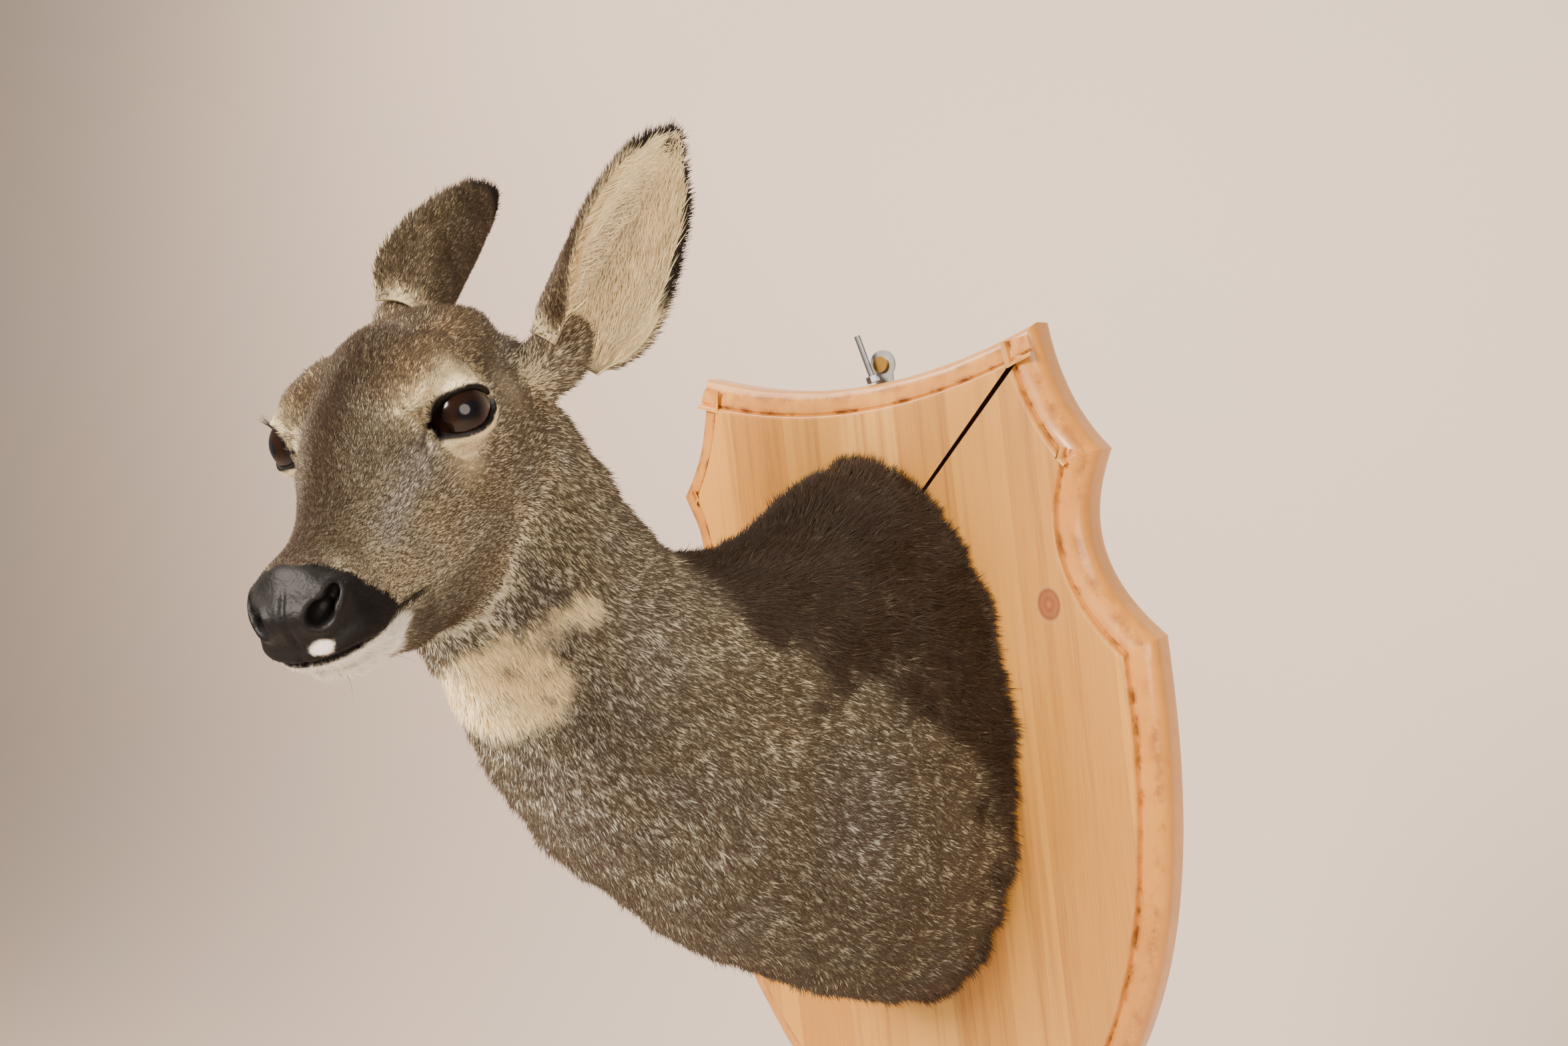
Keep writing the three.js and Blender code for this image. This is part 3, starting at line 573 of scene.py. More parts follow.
def sleeveChart(b):
    angle = np.arctan2(b["x"], b["v"]) / (2 * math.pi) + 0.5
    return np.column_stack([b["t"] / 10, angle])


def discChart(q):
    v = unit((q - np.array([0, -15, -22])) * np.array([1, 0.55, 1]))
    away = np.arccos(np.clip(v[:, 1], -1, 1)) / math.pi
    turn = np.arctan2(v[:, 2], v[:, 0])
    return np.column_stack([away * np.cos(turn), away * np.sin(turn)])


# ---- making meshes


def keepValues(mesh, values):
    for key, value in values.items():
        mesh.attributes.new(key, "FLOAT", "POINT").data.foreach_set("value",
            np.asarray(value, dtype=np.float32))


def addObject(name, data):
    made = bpy.data.objects.new(name, data)
    bpy.context.scene.collection.objects.link(made)
    return made


# Flat many-sided faces cut into triangles, and every face turned outwards.
def closeMesh(mesh):
    work = bmesh.new()
    work.from_mesh(mesh)
    bmesh.ops.triangulate(work, faces=[f for f in work.faces if len(f.verts) > 4], ngon_method="BEAUTY")
    bmesh.ops.recalc_face_normals(work, faces=work.faces)
    work.to_mesh(mesh)
    work.free()


def placePiece(made, slotName, *nodes):
    if nodes:
        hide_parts(*nodes)
    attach(made, "root")


def makePiece(name, points, faces, material, values=None, chart=None, smooth=True):
    mesh = bpy.data.meshes.new(name)
    faces = np.asarray(faces, dtype=np.int32)
    mesh.vertices.add(len(points))
    mesh.vertices.foreach_set("co", (np.asarray(points) * mm).astype(np.float32).ravel())
    mesh.loops.add(faces.size)
    mesh.loops.foreach_set("vertex_index", faces.ravel())
    mesh.polygons.add(len(faces))
    mesh.polygons.foreach_set("loop_start", np.arange(0, faces.size, faces.shape[1], dtype=np.int32))
    mesh.update(calc_edges=True)
    mesh.polygons.foreach_set("use_smooth", np.full(len(faces), smooth))
    keepValues(mesh, values or {})
    if chart is not None:
        layer = mesh.uv_layers.new(name="OFBake")
        layer.uv.foreach_set("vector", np.asarray(chart, dtype=np.float32).ravel())
    mesh.materials.append(material)
    return addObject(name, mesh)


# ---- materials


def colour(text):
    parts = [int(text[i:i + 2], 16) / 255 for i in (1, 3, 5)]
    return (*[c / 12.92 if c <= 0.04045 else ((c + 0.055) / 1.055) ** 2.4 for c in parts], 1.0)


# A kind is named without "ShaderNode", and a node given as a link stands for its first output.
def addNode(tree, kind, links=None, **settings):
    made = tree.nodes.new(kind if "Node" in kind else "ShaderNode" + kind)
    for key, value in settings.items():
        setattr(made, key, value)
    for key, value in (links or {}).items():
        value = value.outputs[0] if isinstance(value, bpy.types.Node) else value
        if isinstance(value, bpy.types.NodeSocket):
            tree.links.new(value, made.inputs[key])
        else:
            made.inputs[key].default_value = value
    return made


def newMaterial(name):
    made = bpy.data.materials.new(name)
    made.use_nodes = True
    made.node_tree.nodes.clear()
    return made, made.node_tree


def finishMaterial(tree, shader):
    addNode(tree, "OutputMaterial", {"Surface": shader})


hairColours = {
    "band": "#cfc3a2", "grey": "#cbc6ba", "warm": "#c4a26c", "cream": "#fbe7b8", "white": "#ece6da",
    "tip": "#4a3d2e", "dark": "#2e1e10", "black": "#0e0a08",
}


def setStops(node, stops):
    places = node.color_ramp.elements
    for n, (place, shade) in enumerate(stops):
        stop = places[n] if n < 2 else places.new(1.0)
        stop.position, stop.color = place, shade


# Each mark's colour laid over the last, with dark tips (ticked hair) where the mark leaves them.
def hairColour(tree, ticks, bright):
    mark = {key: addNode(tree, "Attribute", attribute_name=key).outputs["Fac"] for key in marks["names"]}
    now = colour(hairColours["band"])
    for key in ("warm", "grey", "cream", "white"):
        mix = addNode(tree, "Mix", {0: mark[key], 6: now, 7: colour(hairColours[key])}, data_type="RGBA")
        now = mix.outputs[2]
    pale = addNode(tree, "Math", {0: mark["cream"], 1: mark["white"]}, operation="ADD", use_clamp=True)
    keep = addNode(tree, "Math", {0: pale, 1: -0.85, 2: 1.0}, operation="MULTIPLY_ADD")
    dark = addNode(tree, "Math", {0: ticks, 1: keep}, operation="MULTIPLY", use_clamp=True)
    now = addNode(tree, "Mix", {0: dark, 6: now, 7: colour(hairColours["tip"])},
                  data_type="RGBA").outputs[2]
    deep = addNode(tree, "Math", {0: mark["dark"], 1: 0.94}, operation="MULTIPLY")
    now = addNode(tree, "Mix", {0: deep, 6: now, 7: colour(hairColours["dark"])},
                  data_type="RGBA").outputs[2]
    now = addNode(tree, "Mix", {0: mark["black"], 6: now, 7: colour(hairColours["black"])},
                  data_type="RGBA").outputs[2]
    return addNode(tree, "HueSaturation", {"Value": bright, "Color": now}).outputs[0], mark


# Winter guard hair: dull and soft, each hair banded dark, tan and dark again.
def hairMaterial():
    made, tree = newMaterial("roeGuardHair")
    along = addNode(tree, "Attribute", attribute_name="along").outputs["Fac"]
    shade = addNode(tree, "Attribute", attribute_name="shade").outputs["Fac"]
    shifted = addNode(tree, "Math", {0: shade, 1: 0.34, 2: along}, operation="MULTIPLY_ADD")
    bands = addNode(tree, "ValToRGB", {"Fac": shifted})
    stops = ((0.0, 0.7), (0.36, 0.25), (0.5, 0.0), (0.8, 0.0), (0.96, 0.9), (1.3, 1.0))
    setStops(bands, [(place / 1.34, (value, value, value, 1)) for place, value in stops])
    bright = addNode(tree, "Math", {0: shade, 1: 0.5, 2: 0.78}, operation="MULTIPLY_ADD")
    base, _ = hairColour(tree, bands, bright)
    shader = addNode(tree, "BsdfPrincipled",
                     {"Base Color": base, "Roughness": 0.62, "Specular IOR Level": 0.25})
    finishMaterial(tree, shader)
    return made


# The hide itself, with its shortest hair as fine bump; the nose and lips are bare, wet-looking leather.
def hideMaterial():
    made, tree = newMaterial("roeHide")
    place = addNode(tree, "TexCoord").outputs["Object"]
    turn = Matrix([list(row) for row in headRows]).to_euler()
    laid = addNode(tree, "Mapping", {"Vector": place, "Rotation": turn, "Scale": (1, 0.28, 1)})
    flecks = addNode(tree, "TexNoise",
                     {"Vector": laid, "Scale": 1 / (1.6 * mm), "Detail": 3.0, "Roughness": 0.6})
    ticks = addNode(tree, "MapRange", {"Value": flecks.outputs["Fac"], "From Min": 0.46, "From Max": 0.62})
    bright = addNode(tree, "MapRange",
                     {"Value": flecks.outputs["Fac"], "From Min": 0.3, "From Max": 0.7, "To Min": 0.7,
                      "To Max": 1.1})
    base, mark = hairColour(tree, ticks, bright)
    bare = addNode(tree, "Attribute", attribute_name="bare").outputs["Fac"]
    grain = addNode(tree, "TexVoronoi", {"Vector": place, "Scale": 1 / (1.3 * mm)}, feature="SMOOTH_F1")
    leather = addNode(tree, "Mix", {0: bare, 6: base, 7: colour("#0d0a09")}, data_type="RGBA")
    rough = addNode(tree, "MapRange", {"Value": bare, "To Min": 0.75, "To Max": 0.52})
    hairs = addNode(tree, "Bump", {"Height": flecks.outputs["Fac"], "Distance": 0.35 * mm, "Strength": 0.6})
    pores = addNode(tree, "Math", {0: grain.outputs["Distance"], 1: bare}, operation="MULTIPLY")
    bump = addNode(tree, "Bump", {"Height": pores, "Distance": 0.25 * mm, "Strength": 0.5, "Normal": hairs})
    shader = addNode(tree, "BsdfPrincipled", {
        "Base Color": leather.outputs[2], "Roughness": rough, "Normal": bump, "Specular IOR Level": 0.22})
    finishMaterial(tree, shader)
    return made


# A taxidermist's glass eye: deep brown behind clear glass, with a level pupil that shows blue-black.
def eyeMaterial():
    made, tree = newMaterial("eyeGlass")
    away = addNode(tree, "Attribute", attribute_name="away").outputs["Fac"]
    pupil = addNode(tree, "Attribute", attribute_name="pupil").outputs["Fac"]
    rings = addNode(tree, "ValToRGB", {"Fac": away})
    stops = ((0.0, "#160b06"), (0.4, "#1e0f08"), (0.58, "#0e0704"), (0.72, "#1c0f0a"), (1.0, "#241510"))
    setStops(rings, [(place, colour(text)) for place, text in stops])
    inside = addNode(tree, "MapRange",
                     {"Value": pupil, "From Min": 0.9, "From Max": 1.1, "To Min": 1.0, "To Max": 0.0})
    base = addNode(tree, "Mix", {0: inside, 6: rings, 7: colour("#0a0a0e")}, data_type="RGBA")
    shader = addNode(tree, "BsdfPrincipled", {
        "Base Color": base.outputs[2], "Roughness": 0.2, "Specular IOR Level": 0.08,
        "Coat Weight": 0.55, "Coat Roughness": 0.07, "Coat IOR": 1.45})
    finishMaterial(tree, shader)
    return made


# Stiff black lash and feeler hair, a little glossy.
def lashMaterial():
    made, tree = newMaterial("lashHair")
    place = addNode(tree, "TexCoord").outputs["Object"]
    cloud = addNode(tree, "TexNoise", {"Vector": place, "Scale": 1 / (4 * mm)})
    base = addNode(tree, "Mix", {0: cloud.outputs["Fac"], 6: colour("#0b0807"), 7: colour("#241913")},
                   data_type="RGBA")
    finishMaterial(tree, addNode(tree, "BsdfPrincipled", {"Base Color": base.outputs[2], "Roughness": 0.4}))
    return made


guardHair, hide, glass, lash = hairMaterial(), hideMaterial(), eyeMaterial(), lashMaterial()

# ---- ears: a leaf rolled about its length, as a thin closed sheet

leafTable = np.array(ears["leaf"], float)


def leafPoint(share, across, outward):
    t = np.interp(share, leafTable[:, 0], np.arange(len(leafTable)))
    _, radius, half, _ = between(leafTable, t).T
    spread = np.minimum(half / radius, 2.7)
    angle = across * spread
    r = radius + outward
    return np.column_stack([r * np.sin(angle), radius - r * np.cos(angle), share * ears["length"]]), angle


def earSheet(side, rows=54, columns=34):
    share, u = np.linspace(0, 1, rows + 1), np.linspace(-1, 1, columns + 1)
    s, a = np.meshgrid(share, u, indexing="ij")
    s, a = s.ravel(), a.ravel()
    edge = (np.sqrt(np.maximum(0, 1 - a**8)) * 0.8 + 0.2) * np.sqrt(np.clip((1.02 - s) / 0.06, 0, 1))
    fold = 0.8 * np.sin(a * 9) * hill(s / 0.6)       # ribs of the hollow
    outer, _ = leafPoint(s, a, ears["gristle"] * edge)
    inner, _ = leafPoint(s, a, -ears["gristle"] * edge + fold * 0.4 - 0.2)
    points = fromEar(side, np.concatenate([outer, inner]))
    wide, size = columns + 1, len(s)
    faces = []
    for i in range(rows):
        j = np.arange(columns)
        a0 = i * wide + j
        faces.append(np.stack([a0, a0 + 1, a0 + 1 + wide, a0 + wide], 1))
        faces.append(np.stack([a0 + size, a0 + size + wide, a0 + size + 1 + wide, a0 + size + 1], 1))
    for j, flip in ((0, False), (columns, True)):
        a0 = np.arange(rows) * wide + j
        quad = np.stack([a0, a0 + wide, a0 + wide + size, a0 + size], 1)
        faces.append(quad[:, ::-1] if flip else quad)
    for i, flip in ((0, True), (rows, False)):
        a0 = i * wide + np.arange(columns)
        quad = np.stack([a0, a0 + 1, a0 + 1 + size, a0 + size], 1)
        faces.append(quad[:, ::-1] if flip else quad)
    faces = np.concatenate(faces)
    grid = {"share": np.tile(s, 2), "across": np.tile(a, 2), "outer": np.repeat([1.0, 0.0], size)}
    return points, faces, grid


def fixFacing(points, faces):
    a, b, c = points[faces[:, 0]], points[faces[:, 1]], points[faces[:, 2]]
    d = points[faces[:, -1]]
    volume = (a * np.cross(b, c)).sum() + ((a * np.cross(c, d)).sum() if faces.shape[1] == 4 else 0)
    return faces if volume > 0 else faces[:, ::-1]


def cornerNormals(points, faces):
    normal = np.cross(points[faces[:, 2]] - points[faces[:, 0]], points[faces[:, 3]] - points[faces[:, 1]])
    total = np.zeros_like(points)
    for k in range(4):
        np.add.at(total, faces[:, k], normal)
    return unit(total)


def earMarks(p, grid, side):
    s, a, outer = grid["share"], grid["across"], grid["outer"]
    rough = wander(p, 9, 31)
    rear = -a if side == "left" else a
    rim = ramp(rear + 0.04 * rough, 0.78, 0.88) * ramp(s + 0.03 * rough, 0.3, 0.45)
    rim = np.maximum(rim, ramp(-rear + 0.03 * rough, 0.8, 0.9) * ramp(s, 0.76, 0.84))
    rim = np.maximum(rim, ramp(s + 0.02 * rough, 0.9, 0.94))
    hollow = 1 - outer
    edgeDark = 0.6 * ramp(-rear, 0.94, 0.99) * ramp(s, 0.3, 0.4)
    middle = ramp(-np.abs(a + 0.1 * rough), -0.5, -0.2) * ramp(s, 0.12, 0.3) * ramp(-s, -0.85, -0.55)
    cream = hollow * (1 - 0.45 * middle)
    grey = hollow * 0.6 * middle
    dark = outer * (0.4 + 0.2 * rough + 0.25 * ramp(s, 0.6, 1))
    return {"grey": np.clip(grey, 0, 1), "warm": 0.3 * outer, "cream": np.clip(cream * (1 - rim), 0, 1),
            "white": 0 * s,
            "dark": np.clip(np.maximum(dark, edgeDark), 0, 1), "black": np.clip(rim * 0.95, 0, 1)}


earParts = {}
for side in ("left", "right"):
    points, faces, grid = earSheet(side)
    faces = fixFacing(points, faces)
    earParts[side] = {"points": points, "faces": faces, "grid": grid,
                      "normals": cornerNormals(points, faces)}


# ---- the hide as one piece


def buildHide():
    values, onHead, q, b = markings(hidePoints)
    far, beyond, *_ = eyePlace(q)
    bareNose = ramp(q[:, 1] + 0.25 * q[:, 2], marks["leatherFrom"],
                    marks["leatherFrom"] + 2.5) * ramp(mouthRise(q), 5, 9)
    bareLid = ramp(-beyond, -1.2, -0.5) * ramp(-far, -18, -16)
    bareLip = hill(mouthRise(q) / 1.2) * ramp(q[:, 1], 60, 66)
    lipSpot = ramp(-ballDistance(q, *marks["lipSpot"]), -1, 1)
    values["bare"] = np.maximum.reduce([bareNose * (1 - lipSpot), bareLid, bareLip]) * onHead
    headFaces = onHead[hideQuads].mean(1) > 0.5
    sleeve, disc = sleeveChart(b), discChart(q)
    corner = sleeve[hideQuads]
    jump = corner[..., 1].max(1) - corner[..., 1].min(1) > 0.5
    corner[..., 1] += np.where(jump[:, None] & (corner[..., 1] < 0.5), 1, 0)
    chart = np.array([0.02, 0.02]) + corner * np.array([0.96, 0.45])
    chart[headFaces] = np.array([0.25, 0.74]) + disc[hideQuads][headFaces] * 0.23
    points, faces = [hidePoints], [hideQuads]
    keys = list(values)
    total = {key: [values[key]] for key in keys}
    charts = [chart.reshape(-1, 2)]
    count = len(hidePoints)
    for n, side in enumerate(("left", "right")):
        e = earParts[side]
        own = earMarks(e["points"], e["grid"], side)
        for key in keys:
            total[key].append(own.get(key, np.zeros(len(e["points"]))))
        points.append(e["points"])
        faces.append(e["faces"] + count)
        count += len(e["points"])
        place = np.column_stack([e["grid"]["across"] * 0.5 + 0.5, e["grid"]["share"]])
        place = np.array([0.53, 0.51]) + place * np.array([0.21, 0.21]) + np.column_stack([
            0.24 * (1 - e["grid"]["outer"]), np.full(len(place), 0.24 * n)])
        charts.append(place[e["faces"]].reshape(-1, 2))
    made = makePiece("hide", np.concatenate(points), np.concatenate(faces), hide,
                     {key: np.concatenate(total[key]) for key in keys}, np.concatenate(charts))
    placePiece(made, "head_hair", "chest", "neck", "head", "lower_jaw", "nose", "ear_left", "ear_right")


buildHide()
print("hide built")

# ---- coat: every tuft is a thin closed spike laid along the hair's lie

coat = {
    "seed": 7,
    "bodyTufts": 205000, "headTufts": 92000, "earTufts": 25000,
    "bodyParts": (0, 1.25, 2.5, 3.9, 5.8, 10.01),
    "clump": 1.9,            # mm across a clump on the body
    "sunk": 0.5,
    # length and width of a tuft along the head, from poll to lips
    "headAt": (-98, -50, -10, 30, 60, 90, 104), "headLong": (11, 8.5, 6.5, 5.0, 4.0, 2.8, 2.0),
    "headWide": (1.05, 0.95, 0.8, 0.68, 0.58, 0.48, 0.4),
    "bodyLong": (15, 13.5, 12.5, 12, 11.5, 11, 10.5, 10, 9.5, 9, 9),
    "bodyWide": (1.4, 1.35, 1.3, 1.25, 1.2, 1.15, 1.1, 1.05, 1.0, 1.0, 0.95),
    # degrees that tufts stand up, and how much that varies
    "lift": 20.0, "liftSpread": 8.0, "headLift": (13, 5), "chinLift": 14, "headClump": 1.7,
    "ear": {"long": (6.5, 8.0), "wide": (0.8, 0.6), "lift": (14, 5), "clump": 2.0},     # back, then hollow
    "locks": {"count": 5200, "seed": 51, "long": (11, 8), "wide": 0.7, "lift": (15, 6), "clump": 3.5,
              "inward": 0.55},
    "stray": 0.3,            # how far tufts stray from the lie, in radians
    "rootSeeds": {"body": 11, "head": 12, "ear": 13, "locks": 14},
    "patch": 0.003,          # width of a tuft's own patch on the chart
}


def pickRoots(points, faces, normals, count, seed, share=None):
    rng = np.random.default_rng(seed)
    corners = np.concatenate([faces[:, (0, 1, 2)], faces[:, (0, 2, 3)]])
    a, b, c = (points[corners[:, k]] for k in range(3))
    area = np.linalg.norm(np.cross(b - a, c - a), axis=1) / 2
    if share is not None:
        area = area * share[corners].mean(1)
    stops = np.cumsum(area)
    at = (np.arange(count) + rng.uniform(0, 1, count)) / count * stops[-1]
    chosen = np.clip(np.searchsorted(stops, at), 0, len(corners) - 1)
    r = rng.uniform(0, 1, (count, 2))
    fold = r.sum(1) > 1
    r[fold] = 1 - r[fold]
    weight = np.column_stack([1 - r.sum(1), r])
    own = corners[chosen]
    p = (points[own] * weight[..., None]).sum(1)
    n = unit((normals[own] * weight[..., None]).sum(1))
    return p, n, own, weight


# Spikes as closed shells: three corners at the root and a tip, or with a bent middle ring as well.
def spikes(root, normal, lie, tip, width, bend=None):
    across = unit(np.cross(lie, normal))
    sunk = root - normal * coat["sunk"]
    w = width[:, None] / 2
    a, b, c = sunk + across * w, sunk - across * w, sunk + normal * w * 1.1
    count = len(root)
    if bend is None:
        points = np.stack([a, b, c, tip], 1).reshape(-1, 3)
        base = np.arange(count)[:, None, None] * 4
        faces = (base + np.array([(0, 2, 1), (0, 3, 2), (2, 3, 1), (1, 3, 0)])[None]).reshape(-1, 3)
        along = np.tile([0.0, 0.0, 0.0, 1.0], count)
        return points, faces, along, 4
    m = w * 0.85
    points = np.stack([a, b, c, bend + across * m, bend - across * m, bend + normal * m * 0.9, tip],
                      1).reshape(-1, 3)
    base = np.arange(count)[:, None, None] * 7
    shell = [(0, 2, 1), (0, 3, 5), (0, 5, 2), (2, 5, 4), (2, 4, 1), (1, 4, 3), (1, 3, 0), (3, 6, 5),
             (5, 6, 4), (4, 6, 3)]
    faces = (base + np.array(shell)[None]).reshape(-1, 3)
    along = np.tile([0.0, 0.0, 0.0, 0.5, 0.5, 0.5, 1.0], count)
    return points, faces, along, 7


# Each tuft's own patch of the chart: the root's corners and its tip round the root's place.
def patchChart(place, lieTurn, sides):
    size = coat["patch"]
    spread = {4: [(-0.4, -0.5), (0.4, -0.5), (0, -0.2), (0, 0.5)],
              7: [(-0.4, -0.5), (0.4, -0.5), (0, -0.3), (-0.3, 0), (0.3, 0), (0, 0.1), (0, 0.5)]}[sides]
    turn = np.column_stack([np.cos(lieTurn), np.sin(lieTurn)])
    corners = []
    for x, y in spread:
        corners.append(place + size * np.column_stack([x * turn[:, 0] - y * turn[:, 1],
            x * turn[:, 1] + y * turn[:, 0]]))
    return np.clip(np.stack(corners, 1).reshape(-1, 2), 0.0005, 0.9995)


def clumpTips(root, tip, size, pull, rng):
    key = np.floor((root + rng.normal(0, size * 0.22, root.shape)) / size).astype(np.int64)
    key = key[:, 0] * 73856093 ^ key[:, 1] * 19349663 ^ key[:, 2] * 83492791
    _, group = np.unique(key, return_inverse=True)
    count = np.bincount(group)
    middle = np.stack([np.bincount(group, tip[:, k]) / count for k in range(3)], 1)
    return tip + (middle[group] - tip) * pull[:, None]


def turned(v, axis, angle):
    c, s = np.cos(angle)[:, None], np.sin(angle)[:, None]
    return v * c + np.cross(axis, v) * s


def flatOn(n, lie):
    return unit(lie - n * (lie * n).sum(1)[:, None])


def lieOn(p, n, onHead, q, b):
    # on the body the hair runs from the head to the board and a little down, on the head from nose to poll
    k = np.clip(np.round(b["t"] * body["cutsPerStation"]).astype(int), 0, len(cuts) - 1)
    run = np.column_stack([np.zeros(len(p)), -cutNormal[k, 0], -cutNormal[k, 1]])
    run[:, 2] -= 0.35 * ramp(np.abs(b["x"]) / b["half"], 0.2, 0.9)
    side = np.where(q[:, 0] > 0, 1.0, -1.0)
    backward = np.column_stack([0.25 * side * ramp(np.abs(q[:, 0]), 4, 30), -np.ones(len(q)),
                                np.zeros(len(q))])
    backward[:, 2] += 0.18 * ramp(q[:, 2], 0, 20) - 0.3 * ramp(-q[:, 2], -10, 30) * ramp(-q[:, 1], -70, -10)
    far = eyePlace(q)[0]
    w = q - np.column_stack([side, np.ones((len(q), 2))]) * np.array(eyes["centre"])
    backward += unit(w) * (2.4 * ramp(-far, -23, -15))[:, None]
    lie = run * (1 - onHead)[:, None] + (unit(backward) @ headRows) * onHead[:, None]
    for side in ("left", "right"):      # the fur climbs the roots of the ears
        rows, _ = earFrame(side)
        near = ramp(-ballDistance(toEar(side, q), (0, 14, 2), (17, 14, 24)), -9, 3)
        lie += (unit(rows[2] - 0.25 * rows[1]) @ headRows) * (2.2 * near)[:, None]
    return turned(flatOn(n, lie), n, 0.22 * wander(p, 30, 41))


def coatPiece(name, slotName, p, n, lie, long, wide, lift, values, place, rng, clump, pull, bent=False):
    count = len(p)
    lie = turned(lie, n, rng.normal(0, coat["stray"], count))
    rise = np.sin(lift)[:, None]
    tip = p + (lie * np.sqrt(1 - rise**2) + n * rise) * long[:, None]
    tip = clumpTips(p, tip, clump, pull, rng)
    bend = None
    if bent:
        bend = p + (tip - p) * 0.5 + n * (long * 0.1)[:, None]
    over = tip[:, 1] - (body["boardFace"] + 0.1)
    hit = over > 0
    if hit.any():      # hair that meets the board spreads over it
        spreadOut = p.copy()
        spreadOut[:, 1] = 0
        spreadOut[:, 2] -= 10
        spreadOut = unit(spreadOut)
        tip[hit] += spreadOut[hit] * (over[hit] * 0.55)[:, None]
        tip[hit, 1] = body["boardFace"] + 0.1 - rng.uniform(0, 1.6, hit.sum())
        if bend is not None:
            bend[:, 1] = np.minimum(bend[:, 1], body["boardFace"] - 0.3)
    points, faces, along, sides = spikes(p, n, lie, tip, wide, bend)
    points[:, 1] = np.minimum(points[:, 1], body["boardFace"] + 0.2)
    shade = rng.uniform(0, 1, count)
    values = {key: np.repeat(value, sides) for key, value in values.items()}
    values["along"] = along
    values["shade"] = np.repeat(shade, sides)
    chart = patchChart(place, rng.uniform(0, 6.28, count), sides)
    placePiece(makePiece(name, points, faces, guardHair, values, chart[faces.ravel()], smooth=False),
               slotName)


def only(values, own):
    return {key: value[own] for key, value in values.items()}


def buildBodyCoat(rng, share):
    p, n, *_ = pickRoots(hidePoints, hideQuads, hideNormals, coat["bodyTufts"], coat["rootSeeds"]["body"],
                         share)
    values, onHead, q, b = markings(p)
    lie, t = lieOn(p, n, onHead, q, b), b["t"]
    vary = rng.uniform(0.75, 1.2, len(p))
    long = np.interp(t, range(11), coat["bodyLong"]) * vary * (1 + 0.25 * values["dark"])
    wide = np.interp(t, range(11), coat["bodyWide"]) * rng.uniform(0.8, 1.2, len(p))
    lift = np.radians(coat["lift"] + coat["liftSpread"] * rng.normal(size=len(p)) + 6 * wander(p, 9, 42))
    lift = np.clip(lift, 0.08, 0.8)
    pull = np.clip(0.38 + 0.2 * wander(p, 20, 43), 0.05, 0.7)
    place = sleeveChart(b)
    for k, (start, stop) in enumerate(zip(coat["bodyParts"], coat["bodyParts"][1:])):
        own = (t >= start) & (t < stop)
        chart = place[own].copy()
        chart[:, 0] = 0.01 + 0.98 * (chart[:, 0] * 10 - start) / (stop - start)
        coatPiece(f"coat_body_{k + 1}", "shoulder_hair" if k < 3 else "neck_hair", p[own], n[own], lie[own],
                  long[own], wide[own], lift[own], only(values, own), chart, rng, coat["clump"], pull[own])
        print("coat_body", k + 1, own.sum())


def buildHeadCoat(rng, share):
    p, n, *_ = pickRoots(hidePoints, hideQuads, hideNormals, coat["headTufts"], coat["rootSeeds"]["head"],
                         share)
    values, onHead, q, b = markings(p)
    lie = lieOn(p, n, onHead, q, b)
    chin = ramp(-mouthRise(q), 1, 6) * ramp(q[:, 1], 60, 72)
    nearEye = ramp(-eyePlace(q)[0], -24, -15.5)
    vary = rng.uniform(0.75, 1.2, len(p))
    long = np.interp(q[:, 1], coat["headAt"], coat["headLong"]) * vary
    long = long * (1 + 1.0 * chin) * (1 - 0.6 * nearEye)
    wide = np.interp(q[:, 1], coat["headAt"], coat["headWide"]) * rng.uniform(0.8, 1.2, len(p))
    wide = wide * (1 - 0.35 * nearEye)
    mean, spread = coat["headLift"]
    lift = np.clip(np.radians(mean + spread * rng.normal(size=len(p)) + coat["chinLift"] * chin), 0.06, 0.8)
    pull = np.clip(0.3 + 0.2 * wander(p, 12, 44), 0.05, 0.6)
    place = np.array([0.5, 0.5]) + discChart(q) * 0.49
    for name, own in (("coat_head_left", q[:, 0] >= 0), ("coat_head_right", q[:, 0] < 0)):
        coatPiece(name, "head_hair", p[own], n[own], lie[own], long[own], wide[own], lift[own],
                  only(values, own), place[own], rng, coat["headClump"], pull[own])
        print(name, own.sum())


def earRoots(side, count, seed, share):
    e = earParts[side]
    p, n, own, weight = pickRoots(e["points"], e["faces"], e["normals"], count, seed, share)
    grid = {key: (e["grid"][key][own] * weight).sum(1) for key in e["grid"]}
    rows, _ = earFrame(side)
    outward = np.sign(grid["across"])[:, None] * unit(rows[0] @ headRows)
    return p, n, grid, earMarks(p, grid, side), unit(rows[2] @ headRows), outward


# Short fur over the ear's back, thinner in the hollow, fringing out past the rim.
def buildEarCoat(side, rng):
    whole, sizes = earParts[side]["grid"], coat["ear"]
    share = (0.25 + 0.75 * whole["outer"]) * ramp(whole["share"], 0.02, 0.1)
    p, n, grid, values, along, outward = earRoots(side, coat["earTufts"], coat["rootSeeds"]["ear"], share)
    lie = turned(flatOn(n, np.tile(along, (len(p), 1))), n, 0.2 * wander(p, 15, 45))
    lie = unit(lie + outward * (0.7 * ramp(np.abs(grid["across"]), 0.8, 0.95))[:, None])
    back = grid["outer"] > 0.5
    long = np.where(back, *sizes["long"]) * rng.uniform(0.7, 1.25, len(p))
    wide = np.where(back, *sizes["wide"]) * rng.uniform(0.8, 1.2, len(p))
    mean, spread = sizes["lift"]
    lift = np.clip(np.radians(mean + spread * rng.normal(size=len(p))), 0.06, 0.8)
    place = np.column_stack([0.25 + grid["across"] * 0.235 + 0.5 * (~back), 0.02 + 0.96 * grid["share"]])
    coatPiece(f"coat_ear_{side}", "ear_hair", p, n, lie, long, wide, lift, values, place, rng,
              sizes["clump"], np.full(len(p), 0.35))
    print("coat_ear", side, len(p))


